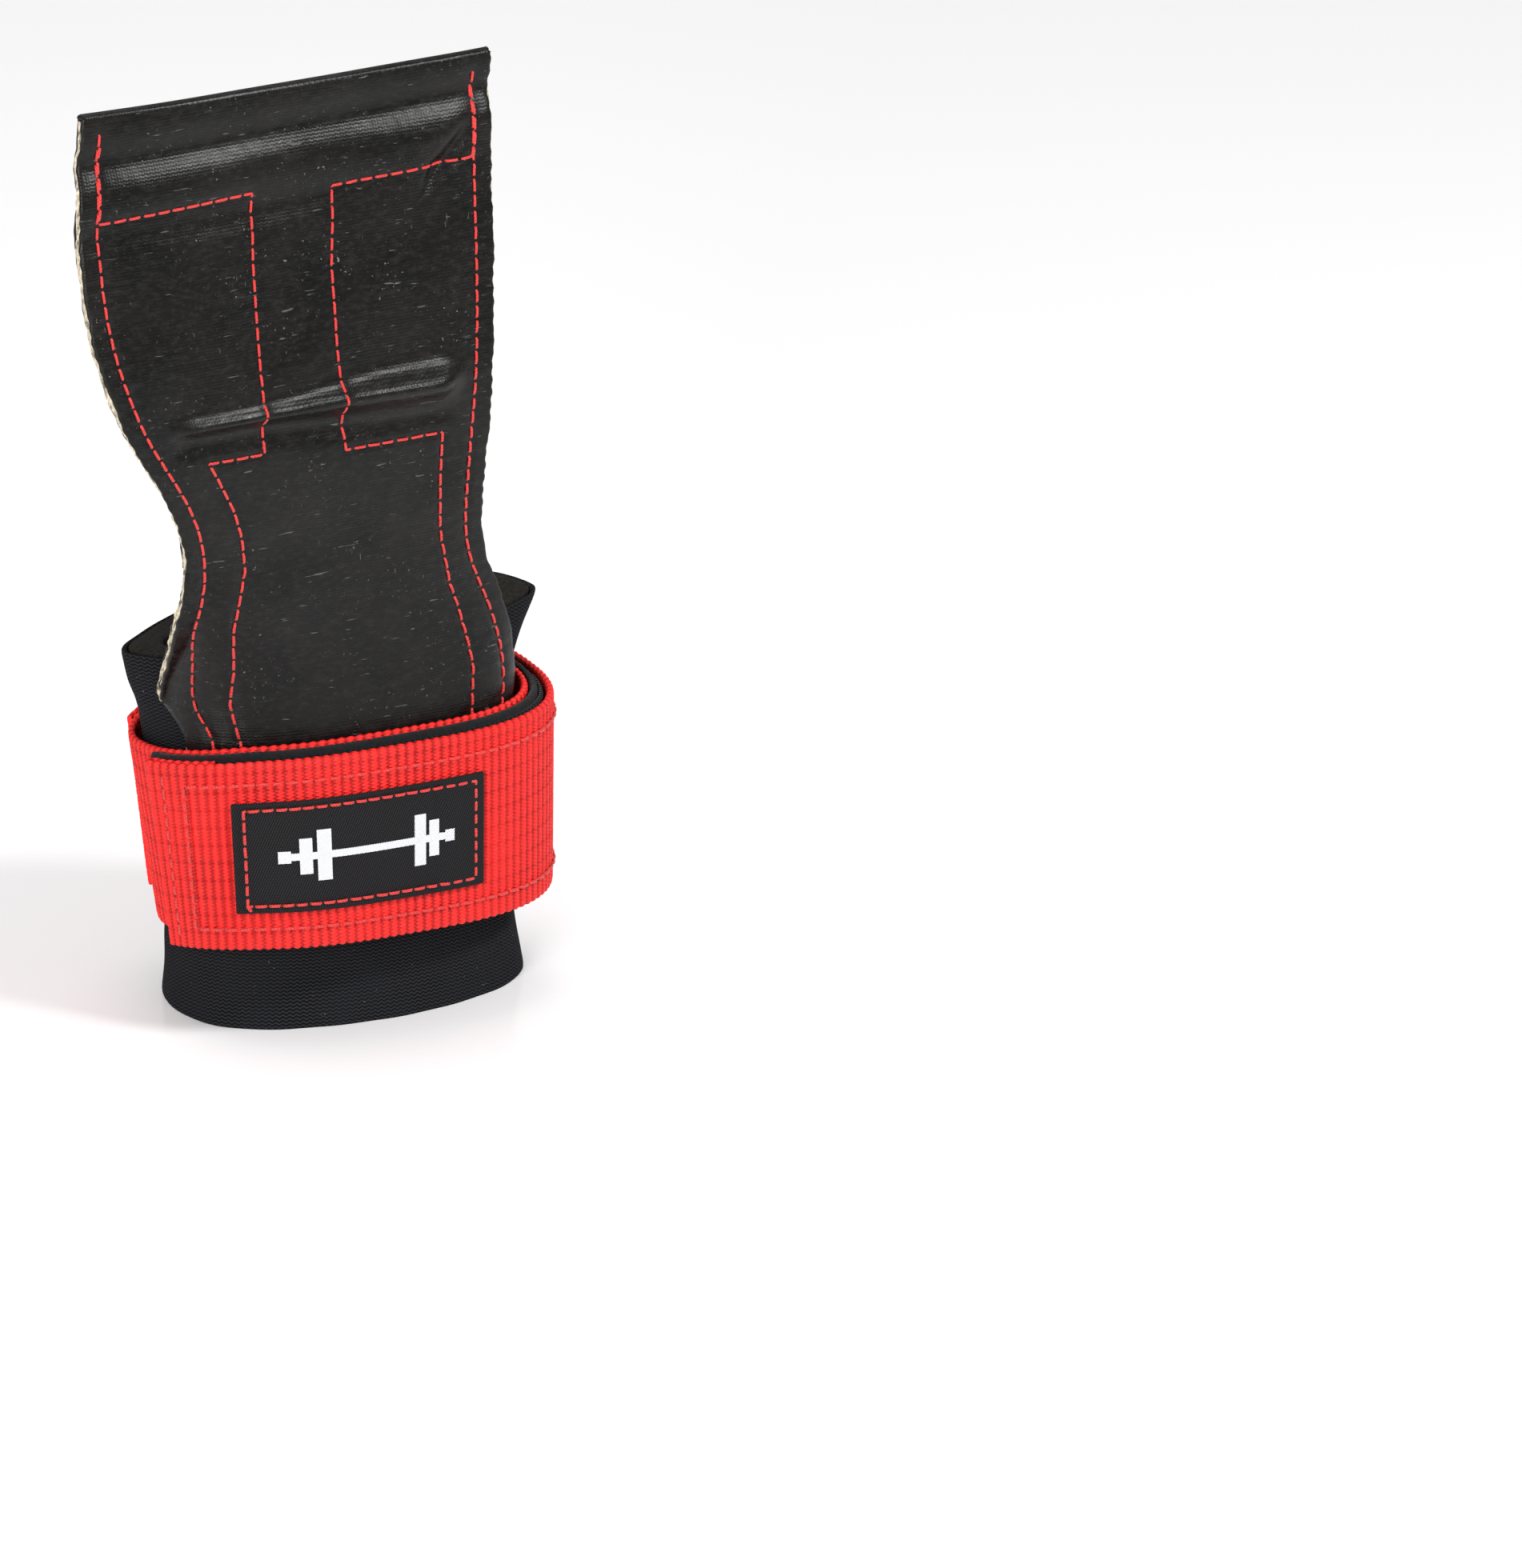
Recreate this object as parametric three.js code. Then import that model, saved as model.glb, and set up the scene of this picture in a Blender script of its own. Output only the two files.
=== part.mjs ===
// A weightlifting hand grip: a padded wrist cuff, a rubberised canvas palm flap that wraps round a bar,
// and a webbing strap that closes the cuff through a steel ring with hook and loop tape.
// Millimetres. The cuff stands on its lower edge, +Z up; the palm side faces -Y.
import * as THREE from 'three';

// ---- driving dimensions ----
const gap = 0.3;                // clearance between pieces that touch

const cuffHeight = 73;
const cuffLength = 72;          // left to right at the lower edge
const cuffDepth = 43;           // front to back at the lower edge
const facingThickness = 0.8;    // knit facing on each side of the cuff's foam
const foamThickness = 4.2;
const cuffGapTurn = 0.012;      // half of the opening between the cuff's ends, as a share of a turn

const webbingWidth = 38;
const webbingThickness = 1.6;
const strapRise = 20.9;         // lower edge of the sewn strap above the cuff's lower edge
const strapDip = 4.8;           // how far the strap sinks at the left end
const tongueDrop = 1.1;         // the tongue lies this much lower than the sewn strap
const tapeThickness = 1.2;
const tapeWidth = 37.2;

const skinThickness = 0.8;      // rubberised canvas of the flap
const coreThickness = 0.6;      // stiffening canvas between the flap's skins
const flapTop = 189;
const fingerFoldHeight = 128;
const foldGap = 0.6;            // slit between flap pieces at a fold
const wristFoldRise = 3.1;      // the wrist fold's height above the sewn strap

const labelHeight = 22.4;
const labelThickness = 0.7;
const threadRadius = 0.28;

const wireRadius = 1.5;
const ringWidth = 15;           // between the two long bars' centres
const ringTurn = 0.072;         // the ring's middle, as a share of a turn from the back
const ringPlay = 2.6;           // room between the strap's edges and the ring's ends
const ringCorner = 3.2;
const ringSlack = 2;            // room between the wire and the strap round it, so that the ring can pivot
const keeperThickness = 1.2;
const keeperLength = 12;

// ---- sizes that follow ----
const cuffThickness = 2 * facingThickness + foamThickness + 2 * gap;
const flapThickness = 2 * skinThickness + coreThickness + 2 * gap;
const strapTop = strapRise + webbingWidth;
const wristFoldHeight = strapTop + wristFoldRise;
const loopInner = webbingThickness + gap;
const hookInner = loopInner + tapeThickness + gap;
const tongueInner = hookInner + tapeThickness + gap;
const tongueOuter = tongueInner + webbingThickness;
const keeperInner = webbingThickness + gap;
const ringOffset = keeperInner + keeperThickness + 2 * gap + wireRadius;
const tongueRise = strapRise - tongueDrop;

const colours = {
  knit: [0x15161a, 0.95, 0], foam: [0x23231f, 0.95, 0], rubber: [0x1d1d1d, 0.38, 0],
  canvas: [0xb5aa90, 0.9, 0], webbing: [0xe0231c, 0.8, 0], tape: [0x161619, 0.95, 0],
  label: [0x1b1a1d, 0.85, 0], thread: [0xd8261f, 0.7, 0], steel: [0xc9cbce, 0.22, 1],
};

const group = new THREE.Group();

// ---- plan shape: an oval of four quarter superellipses, starting at the back and turning to the left ----

const ends = (left, right, front, back) => ({ left, right, front, back });

// Half lengths of the cuff's outer face at four heights, and how square its corners are.
const halfLength = cuffLength / 2;
const halfDepth = cuffDepth / 2;
const cuffLevels = [
  { z: 0, ...ends(halfLength - 0.5, halfLength - 1, halfDepth + 0.5, halfDepth - 0.5), power: 2.35 },
  { z: strapRise, ...ends(halfLength - 1.6, halfLength - 4.8, halfDepth - 0.9, halfDepth - 1.5), power: 2.35 },
  { z: strapTop, ...ends(halfLength + 4.5, halfLength - 4.5, halfDepth - 0.8, halfDepth - 0.5), power: 2.35 },
  { z: cuffHeight, ...ends(halfLength + 9.5, halfLength + 4, halfDepth - 5.5, halfDepth + 2.5), power: 1.6 },
];

function mix(a, b, share) {
  return a + (b - a) * share;
}

function ease(low, high, value) {
  return THREE.MathUtils.smoothstep(value, low, high);
}

// The cuff's outer face at a height, its corners loosening towards the mouth.
function cuffOval(z) {
  const upper = Math.max(1, cuffLevels.findIndex((level) => level.z >= z));
  const [low, high] = [cuffLevels[upper - 1], cuffLevels[upper]];
  const share = (z - low.z) / (high.z - low.z);
  const oval = {};
  for (const key of ['left', 'right', 'front', 'back']) oval[key] = mix(low[key], high[key], share);
  oval.frontPower = mix(low.power, high.power, share);
  oval.backPower = oval.frontPower;
  return oval;
}

// The cuff's lining, as an oval inside the outer face.
function liningOval(z) {
  const oval = cuffOval(z);
  const endThickness = mix(cuffThickness, 1.6 * cuffThickness, ease(strapTop, cuffHeight, z));
  for (const key of ['left', 'right']) oval[key] -= endThickness;
  for (const key of ['front', 'back']) oval[key] -= cuffThickness;
  return oval;
}

// The inner face of the sewn strap: round the cuff, and over the flap's tail at the front.
function strapOval(z) {
  const height = THREE.MathUtils.clamp(z, strapRise, strapTop);
  const oval = cuffOval(height);
  const over = gap + 0.1;
  return {
    left: oval.left + over, right: oval.right + over, back: oval.back + over,
    front: oval.front + 2 * gap + flapThickness + 0.4, frontPower: 3, backPower: oval.backPower,
  };
}

const quarters = new Map();
const quarterSteps = 40;

// Points of a quarter superellipse from (0, tall) to (wide, 0), with their share of its length.
function quarter(wide, tall, power) {
  const key = [wide, tall, power].map((value) => value.toFixed(4)).join();
  if (!quarters.has(key)) {
    const points = [];
    let length = 0;
    for (let i = 0; i <= quarterSteps; i++) {
      const angle = (Math.PI / 2) * (1 - i / quarterSteps);
      const [c, s] = [Math.max(0, Math.cos(angle)), Math.max(0, Math.sin(angle))];
      const radius = ((c / wide) ** power + (s / tall) ** power) ** (-1 / power);
      const point = { x: radius * c, y: radius * s };
      if (i > 0) length += Math.hypot(point.x - points[i - 1].x, point.y - points[i - 1].y);
      point.length = length;
      points.push(point);
    }
    quarters.set(key, points);
  }
  return quarters.get(key);
}

// A point on an oval, offset outwards. Turn 0 is the back, 0.25 the left, 0.5 the front, 0.75 the right.
function onOval(oval, turn, z, offset = 0) {
  const place = (((turn % 1) + 1) % 1) * 4;
  const side = Math.floor(place);
  const share = place - side;
  const wide = side < 2 ? oval.left : oval.right;
  const tall = side === 0 || side === 3 ? oval.back : oval.front;
  const power = side === 0 || side === 3 ? oval.backPower : oval.frontPower;
  const points = quarter(wide, tall, power);
  const fromMiddle = side % 2 === 0 ? share : 1 - share;
  const target = fromMiddle * points[quarterSteps].length;
  let i = 1;
  while (i < quarterSteps && points[i].length < target) i++;
  const [a, b] = [points[i - 1], points[i]];
  const inner = (target - a.length) / (b.length - a.length);
  const [x, y] = [mix(a.x, b.x, inner), mix(a.y, b.y, inner)];
  const steep = power - 1;
  const slope = new THREE.Vector2(x ** steep / wide ** power, y ** steep / tall ** power).normalize();
  const signX = side < 2 ? -1 : 1;
  const signY = side === 0 || side === 3 ? 1 : -1;
  return new THREE.Vector3(signX * (x + slope.x * offset), signY * (y + slope.y * offset), z);
}

// ---- builders ----

function add(name, geometry, [color, roughness, metalness]) {
  const mesh = new THREE.Mesh(geometry, new THREE.MeshStandardMaterial({ color, roughness, metalness }));
  mesh.name = name;
  group.add(mesh);
}

function closedGeometry(positions, index) {
  const corner = (k) => new THREE.Vector3().fromArray(positions, 3 * index[k]);
  let volume = 0;
  for (let k = 0; k < index.length; k += 3) volume += corner(k).dot(corner(k + 1).cross(corner(k + 2)));
  if (volume < 0) {
    for (let k = 0; k < index.length; k += 3) [index[k], index[k + 1]] = [index[k + 1], index[k]];
  }
  const geometry = new THREE.BufferGeometry();
  geometry.setAttribute('position', new THREE.Float32BufferAttribute(positions, 3));
  geometry.setIndex(index);
  geometry.computeVertexNormals();
  return geometry;
}

// A sheet with thickness: pointAt(u, v, w) gives its inner face at w = 0 and its outer face at w = 1.
function sheet(name, colour, across, along, pointAt) {
  const positions = [];
  const index = [];
  const at = (i, j, w) => (w * (along + 1) + j) * (across + 1) + i;
  const quad = (a, b, c, d) => index.push(a, b, c, a, c, d);
  for (let w = 0; w <= 1; w++) {
    for (let j = 0; j <= along; j++) {
      for (let i = 0; i <= across; i++) positions.push(...pointAt(i / across, j / along, w).toArray());
    }
  }
  for (let j = 0; j < along; j++) {
    for (let i = 0; i < across; i++) {
      quad(at(i, j, 0), at(i + 1, j, 0), at(i + 1, j + 1, 0), at(i, j + 1, 0));
      quad(at(i, j, 1), at(i, j + 1, 1), at(i + 1, j + 1, 1), at(i + 1, j, 1));
    }
    quad(at(0, j, 0), at(0, j + 1, 0), at(0, j + 1, 1), at(0, j, 1));
    quad(at(across, j, 0), at(across, j, 1), at(across, j + 1, 1), at(across, j + 1, 0));
  }
  for (let i = 0; i < across; i++) {
    quad(at(i, 0, 0), at(i, 0, 1), at(i + 1, 0, 1), at(i + 1, 0, 0));
    quad(at(i, along, 0), at(i + 1, along, 0), at(i + 1, along, 1), at(i, along, 1));
  }
  add(name, closedGeometry(positions, index), colour);
}

// A round wire or thread through points, its section turned by a fixed side direction.
function tube(name, colour, points, radius, sides, closed, sideAt) {
  const positions = [];
  const index = [];
  const count = points.length;
  points.forEach((point, j) => {
    const before = points[closed ? (j + count - 1) % count : Math.max(0, j - 1)];
    const after = points[closed ? (j + 1) % count : Math.min(count - 1, j + 1)];
    const tangent = after.clone().sub(before).normalize();
    const side = sideAt(j).clone().addScaledVector(tangent, -sideAt(j).dot(tangent)).normalize();
    const other = tangent.clone().cross(side);
    for (let i = 0; i < sides; i++) {
      const angle = (2 * Math.PI * i) / sides;
      const spot = point.clone().addScaledVector(side, radius * Math.cos(angle));
      positions.push(...spot.addScaledVector(other, radius * Math.sin(angle)).toArray());
    }
  });
  const rings = closed ? count : count - 1;
  for (let j = 0; j < rings; j++) {
    for (let i = 0; i < sides; i++) {
      const [a, b] = [j * sides + i, j * sides + ((i + 1) % sides)];
      const [c, d] = [((j + 1) % count) * sides + i, ((j + 1) % count) * sides + ((i + 1) % sides)];
      index.push(a, b, d, a, d, c);
    }
  }
  if (!closed) {
    for (let i = 1; i < sides - 1; i++) {
      index.push(0, i + 1, i);
      const last = (count - 1) * sides;
      index.push(last, last + i, last + i + 1);
    }
  }
  add(name, closedGeometry(positions, index), colour);
}

// ---- cuff: foam between two knit facings, open at the back ----

const cuffTurns = 44;

function cuffLayer(name, colour, outer, inner) {
  const heights = [0, strapRise / 2, strapRise, (strapRise + strapTop) / 2, strapTop,
    (strapTop + cuffHeight) / 2, cuffHeight];
  const rows = heights.length - 1;
  sheet(name, colour, rows, cuffTurns, (u, v, w) => {
    const z = heights[Math.round(u * rows)];
    const turn = mix(cuffGapTurn, 1 - cuffGapTurn, v);
    const depth = w ? outer : inner;
    const face = onOval(cuffOval(z), turn, z);
    return face.lerp(onOval(liningOval(z), turn, z), depth / cuffThickness);
  });
}

cuffLayer('cuff_outer_facing', colours.knit, 0, facingThickness);
cuffLayer('cuff_foam_core', colours.foam, facingThickness + gap, facingThickness + gap + foamThickness);
cuffLayer('cuff_inner_facing', colours.knit, cuffThickness - facingThickness, cuffThickness);

// ---- strap: bands that follow the strap oval ----

// How far a band sinks where it passes the left end of the cuff.
function dipAt(turn) {
  const distance = Math.abs(((((turn % 1) + 1) % 1) - 0.22)) / 0.16;
  return distance >= 1 ? 0 : strapDip * (1 - ease(0, 1, distance));
}

function bandPoint(turn, z, offset) {
  return onOval(strapOval(z), turn, z - dipAt(turn), offset);
}

function band(name, colour, steps, turns, rise, width, inner, thickness) {
  sheet(name, colour, 2, steps, (u, v, w) => {
    const turn = mix(turns[0], turns[1], v);
    return bandPoint(turn, rise + u * width, w ? inner + thickness : inner);
  });
}

const strapMiddle = strapRise + webbingWidth / 2;
const turnLength = [0, 1, 2, 3].reduce((sum, side) => {
  const oval = strapOval(strapMiddle);
  const wide = side < 2 ? oval.left : oval.right;
  const tall = side % 3 === 0 ? oval.back : oval.front;
  return sum + quarter(wide, tall, side % 3 === 0 ? oval.backPower : oval.frontPower)[quarterSteps].length;
}, 0);
const asTurn = (distance) => distance / turnLength;

const tongueHingeTurn = 0.72;
const tongueTipTurn = 0.293;
const tipFoldLength = 9;
const hingeSlit = asTurn(foldGap);

const strapStart = ringTurn - asTurn(0.5);
const strapEnd = 0.972;
band('base_webbing', colours.webbing, 64, [strapStart, strapEnd], strapRise, webbingWidth, 0, webbingThickness);

const tapeRise = strapRise + 0.5;
const loopTurns = [tongueTipTurn - asTurn(1.8), 0.9];
band('loop_tape', colours.tape, 44, loopTurns, tapeRise, tapeWidth, loopInner, tapeThickness);

const tongueTurns = [tongueTipTurn, tongueHingeTurn - hingeSlit / 2];
band('strap_tongue', colours.webbing, 34, tongueTurns, tongueRise, webbingWidth, tongueInner, webbingThickness);
band('tongue_tip_fold', colours.webbing, 4, [tongueTipTurn, tongueTipTurn + asTurn(tipFoldLength)], tongueRise,
  webbingWidth, hookInner, tapeThickness);
const hookStart = tongueTipTurn + asTurn(tipFoldLength + 2 * gap);
band('hook_tape', colours.tape, 30, [hookStart, tongueTurns[1] - hingeSlit], tongueRise + 0.6, tapeWidth,
  hookInner, tapeThickness);

const labelTurns = [0.351, 0.568];
const labelRise = tongueRise + (webbingWidth - labelHeight) / 2;
band('label', colours.label, 20, labelTurns, labelRise, labelHeight, tongueOuter + gap, labelThickness);

// ---- ring: a rectangle of round wire standing along the back of the strap, left of the cuff's opening ----

const ringInnerHeight = webbingWidth + 2 * ringPlay;
const ringHeight = ringInnerHeight + 2 * wireRadius;     // between the two short bars' centres
const ringMiddle = bandPoint(ringTurn, strapMiddle, ringOffset);
const ringFoot = bandPoint(ringTurn, strapRise, ringOffset);
const ringUp = bandPoint(ringTurn, strapTop, ringOffset).sub(ringFoot).normalize();
const ringAhead = bandPoint(ringTurn + 0.001, strapMiddle, ringOffset).sub(ringMiddle);
const ringAlong = ringAhead.addScaledVector(ringUp, -ringAhead.dot(ringUp)).normalize();
const ringOut = ringAlong.clone().cross(ringUp);

function ringSpot(along, height, out = 0) {
  const spot = ringMiddle.clone().addScaledVector(ringAlong, along);
  return spot.addScaledVector(ringUp, height).addScaledVector(ringOut, out);
}

// The distance up the leaning ring from its middle to a height.
function upRing(z) {
  return (z - strapMiddle) / ringUp.z;
}

// How far the curved strap falls behind the straight ring at a distance along it.
function sagAt(along) {
  const beside = bandPoint(ringTurn + asTurn(along), strapMiddle, ringOffset);
  return -beside.sub(ringMiddle).dot(ringOut);
}

// Signed distances of the two long bars from the ring's middle, towards the left.
const keeperBar = ringWidth / 2;
const freeBar = -ringWidth / 2;

const ringPoints = [];
for (const [signA, signH, start] of [[1, 1, 0], [-1, 1, 90], [-1, -1, 180], [1, -1, 270]]) {
  for (let i = 0; i <= 4; i++) {
    const angle = THREE.MathUtils.degToRad(start + i * 22.5);
    const along = signA * (keeperBar - ringCorner) + ringCorner * Math.cos(angle);
    const height = signH * (ringHeight / 2 - ringCorner) + ringCorner * Math.sin(angle);
    ringPoints.push(ringSpot(along, height));
  }
}
tube('buckle_ring', colours.steel, ringPoints, wireRadius, 10, true, () => ringOut);

// ---- strap return: from the cuff's right end, across its opening, round the ring and back as the tongue ----

const wrapRadius = wireRadius + ringSlack + webbingThickness / 2;
const returnPath = [];       // { turn, offset } along the band, or { along, out } beside the ring

const freeBarTurn = 1 + ringTurn + asTurn(freeBar);
const approachSteps = 10;
const approachStart = strapEnd + asTurn(gap);
for (let i = 0; i <= approachSteps; i++) {
  const share = i / approachSteps;
  returnPath.push({ turn: mix(approachStart, freeBarTurn - asTurn(1), share), offset: webbingThickness / 2 });
}
for (let i = 1; i < 8; i++) {
  const angle = -Math.PI / 2 + (Math.PI * i) / 8;
  returnPath.push({ along: freeBar + wrapRadius * Math.cos(angle), out: wrapRadius * Math.sin(angle) });
}
const returnSteps = 32;
for (let i = 0; i <= returnSteps; i++) {
  const share = i / returnSteps;
  const turn = mix(freeBarTurn - asTurn(1), tongueHingeTurn + hingeSlit / 2, share);
  const settled = ease(0, 0.3, share);
  const overRing = ringOffset + wrapRadius + sagAt(freeBar);
  const offset = mix(overRing, tongueInner + webbingThickness / 2, settled);
  returnPath.push({ turn, offset, drop: settled * tongueDrop });
}

function returnCentre(step, z) {
  if (step.turn === undefined) {
    return ringSpot(step.along, upRing(z), step.out);
  }
  const point = bandPoint(step.turn, z, step.offset);
  return point.setZ(point.z - (step.drop ?? 0));
}

sheet('strap_return', colours.webbing, 2, returnPath.length - 1, (u, v, w) => {
  const i = Math.round(v * (returnPath.length - 1));
  const z = strapRise + u * webbingWidth;
  const centre = returnCentre(returnPath[i], z);
  const before = returnCentre(returnPath[Math.max(0, i - 1)], z);
  const after = returnCentre(returnPath[Math.min(returnPath.length - 1, i + 1)], z);
  const forward = after.sub(before).setZ(0).normalize();
  const side = new THREE.Vector3(forward.y, -forward.x, 0);
  return centre.addScaledVector(side, (w ? -0.5 : 0.5) * webbingThickness);
});

// ---- keeper: thin webbing folded round the ring's other bar and sewn to the base webbing ----

const keeperRadius = wireRadius + 2 * gap + keeperThickness / 2;
const keeperPath = [];
for (let i = 0; i <= 5; i++) {
  const along = mix(keeperBar + keeperLength, keeperBar + 1, i / 5);
  keeperPath.push({ along, offset: keeperInner + keeperThickness / 2 });
}
for (let i = 1; i < 6; i++) {
  const angle = -Math.PI / 2 - (Math.PI * i) / 6;
  const along = keeperBar + keeperRadius * Math.cos(angle);
  keeperPath.push({ along, offset: ringOffset + keeperRadius * Math.sin(angle), straight: true });
}
for (let i = 0; i <= 6; i++) {
  const low = keeperInner + 1.5 * keeperThickness + gap;
  const offset = mix(ringOffset + keeperRadius + sagAt(keeperBar), low, ease(0, 0.6, i / 6));
  keeperPath.push({ along: mix(keeperBar + 1, keeperBar + keeperLength, i / 6), offset });
}

const keeperHeight = webbingWidth - 4;

function keeperCentre(step, z) {
  if (step.straight) {
    return ringSpot(step.along, upRing(z), step.offset - ringOffset);
  }
  const point = bandPoint(ringTurn + asTurn(step.along), z, step.offset);
  return point;
}

sheet('ring_keeper', colours.webbing, 2, keeperPath.length - 1, (u, v, w) => {
  const i = Math.round(v * (keeperPath.length - 1));
  const z = strapMiddle + (u - 0.5) * keeperHeight;
  const centre = keeperCentre(keeperPath[i], z);
  const before = keeperCentre(keeperPath[Math.max(0, i - 1)], z);
  const after = keeperCentre(keeperPath[Math.min(keeperPath.length - 1, i + 1)], z);
  const forward = after.sub(before).setZ(0).normalize();
  const side = new THREE.Vector3(forward.y, -forward.x, 0);
  return centre.addScaledVector(side, (w ? -0.5 : 0.5) * keeperThickness);
});

// ---- flap: two rubberised skins, one sheet folded over at the top, round a canvas core ----

// A smooth line through [height, value] pairs.
function profile(pairs) {
  return (z) => {
    const last = pairs.length - 1;
    if (z <= pairs[0][0]) return pairs[0][1];
    if (z >= pairs[last][0]) return pairs[last][1];
    const i = pairs.findIndex(([height]) => height > z);
    const [a, b] = [pairs[i - 1], pairs[i]];
    const [before, after] = [pairs[Math.max(0, i - 2)], pairs[Math.min(last, i + 1)]];
    const slopeA = (b[1] - before[1]) / (b[0] - before[0]);
    const slopeB = (after[1] - a[1]) / (after[0] - a[0]);
    const run = b[0] - a[0];
    const t = (z - a[0]) / run;
    const [t2, t3] = [t * t, t * t * t];
    return (2 * t3 - 3 * t2 + 1) * a[1] + (t3 - 2 * t2 + t) * run * slopeA
      + (3 * t2 - 2 * t3) * b[1] + (t3 - t2) * run * slopeB;
  };
}

const tailBottom = strapRise + 2;
const leftOf = (reach) => -halfLength - reach;      // distances outside the cuff's half length
const rightOf = (reach) => halfLength + reach;
const flapLeft = profile([[tailBottom, leftOf(-7)], [strapTop - 12, leftOf(0.9)], [strapTop + 1, leftOf(2.9)],
  [strapTop + 7, leftOf(5.4)], [strapTop + 16, leftOf(6.6)], [strapTop + 25, leftOf(8)],
  [fingerFoldHeight - 30, leftOf(8.2)], [fingerFoldHeight - 18, leftOf(11.8)], [fingerFoldHeight, leftOf(22)],
  [fingerFoldHeight + 17, leftOf(27.2)], [flapTop - 23, leftOf(28.5)], [flapTop, leftOf(26.5)]]);
const flapRight = profile([[tailBottom, rightOf(-16)], [strapTop - 12, rightOf(-11.5)],
  [strapTop + 5, rightOf(-9)], [strapTop + 18, rightOf(-12)], [fingerFoldHeight - 36, rightOf(-18.2)],
  [fingerFoldHeight - 24, rightOf(-19.5)], [fingerFoldHeight, rightOf(-18.8)],
  [fingerFoldHeight + 17, rightOf(-17.6)], [flapTop - 2, rightOf(-15)]]);
const flapFront = profile([[strapTop, -2.7 - halfDepth], [fingerFoldHeight - 33, -5 - halfDepth],
  [fingerFoldHeight, -8 - halfDepth], [flapTop - 29, -3 - halfDepth], [flapTop, 1 - halfDepth]]);
const curlEnd = fingerFoldHeight - 18;      // the flap's side edges curl back less from here up
const strapLeave = fingerFoldHeight - 36;   // the flap has left the strap's curve from here up

function flapFace(u, z) {
  const x = mix(flapLeft(z), flapRight(z), u);
  const oval = strapOval(z);
  const wide = x < 0 ? oval.left : oval.right;
  const reach = Math.min(0.98, (Math.abs(x) / wide) ** oval.frontPower);
  const onStrap = gap - oval.front * (1 - reach) ** (1 / oval.frontPower);
  const curl = mix(6, 1.2, ease(strapTop, curlEnd, z)) * Math.abs(2 * u - 1) ** 3;
  return new THREE.Vector3(x, mix(onStrap, flapFront(z) + curl, ease(strapTop - 2, strapLeave, z)), z);
}

// A point in the flap, a depth behind its front face.
function flapPoint(u, z, depth) {
  const step = 0.01;
  const tangentU = flapFace(u + step, z).sub(flapFace(u - step, z));
  const tangentZ = flapFace(u, z + 0.5).sub(flapFace(u, z - 0.5));
  const back = tangentZ.cross(tangentU).normalize();
  return flapFace(u, z).addScaledVector(back, depth);
}

const coreDepth = skinThickness + gap;
const backDepth = coreDepth + coreThickness + gap;
const flapAcross = 10;

function flapLayer(name, colour, steps, low, high, depth, thickness) {
  sheet(name, colour, flapAcross, steps, (u, v, w) => {
    return flapPoint(u, mix(low, high, v), w ? depth : depth + thickness);
  });
}

const wristFold = [wristFoldHeight - foldGap / 2, wristFoldHeight + foldGap / 2];
const fingerFold = [fingerFoldHeight - foldGap / 2, fingerFoldHeight + foldGap / 2];
const plainParts = [['tail', 5, tailBottom, wristFold[0]], ['palm', 8, wristFold[1], fingerFold[0]]];
for (const [part, steps, low, high] of plainParts) {
  flapLayer(`flap_${part}_front_skin`, colours.rubber, steps, low, high, 0, skinThickness);
  flapLayer(`flap_${part}_core`, colours.canvas, steps, low, high, coreDepth, coreThickness);
  flapLayer(`flap_${part}_back_skin`, colours.rubber, steps, low, high, backDepth, skinThickness);
}

const rollRadius = flapThickness / 2;
const rollHeight = flapTop - rollRadius;
flapLayer('flap_finger_core', colours.canvas, 6, fingerFold[1], rollHeight, coreDepth, coreThickness);

const riseSteps = 7;
const rollSteps = 4;
const skinSteps = 2 * riseSteps + rollSteps;
sheet('flap_finger_skin', colours.rubber, flapAcross, skinSteps, (u, v, w) => {
  const step = Math.round(v * skinSteps);
  const radius = w ? rollRadius : rollRadius - skinThickness;
  if (step <= riseSteps) {
    return flapPoint(u, mix(fingerFold[1], rollHeight, step / riseSteps), rollRadius - radius);
  }
  if (step >= riseSteps + rollSteps) {
    const descent = (step - riseSteps - rollSteps) / riseSteps;
    return flapPoint(u, mix(rollHeight, fingerFold[1], descent), rollRadius + radius);
  }
  const angle = (Math.PI * (step - riseSteps)) / rollSteps;
  const point = flapPoint(u, rollHeight, rollRadius - radius * Math.cos(angle));
  return point.setZ(point.z + radius * Math.sin(angle));
});

// ---- stitching: each run of thread as one thin line on the face that it holds ----

const seamInset = 3.4;
const threadLift = threadRadius + gap;

// A run of thread on the flap's front, through [x, z] corners, held between two heights.
function flapThread(name, corners, low, high) {
  const spots = [];
  for (let i = 1; i < corners.length; i++) {
    const [a, b] = [corners[i - 1], corners[i]];
    const pieces = Math.max(1, Math.round(Math.hypot(b[0] - a[0], b[1] - a[1]) / 7));
    for (let k = i === 1 ? 0 : 1; k <= pieces; k++) {
      spots.push([mix(a[0], b[0], k / pieces), mix(a[1], b[1], k / pieces)]);
    }
  }
  const points = spots.filter(([, z]) => z > low && z < high).map(([x, z]) => {
    const u = (x - flapLeft(z)) / (flapRight(z) - flapLeft(z));
    return flapPoint(u, z, -threadLift);
  });
  tube(name, colours.thread, points, threadRadius, 5, false, () => new THREE.Vector3(0, -1, 0));
}

function borderCorners(side) {
  const corners = [];
  for (let z = wristFoldHeight - 4; z < flapTop - 6; z += 7) {
    corners.push([side < 0 ? flapLeft(z) + seamInset : flapRight(z) - seamInset, z]);
  }
  return corners;
}

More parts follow.
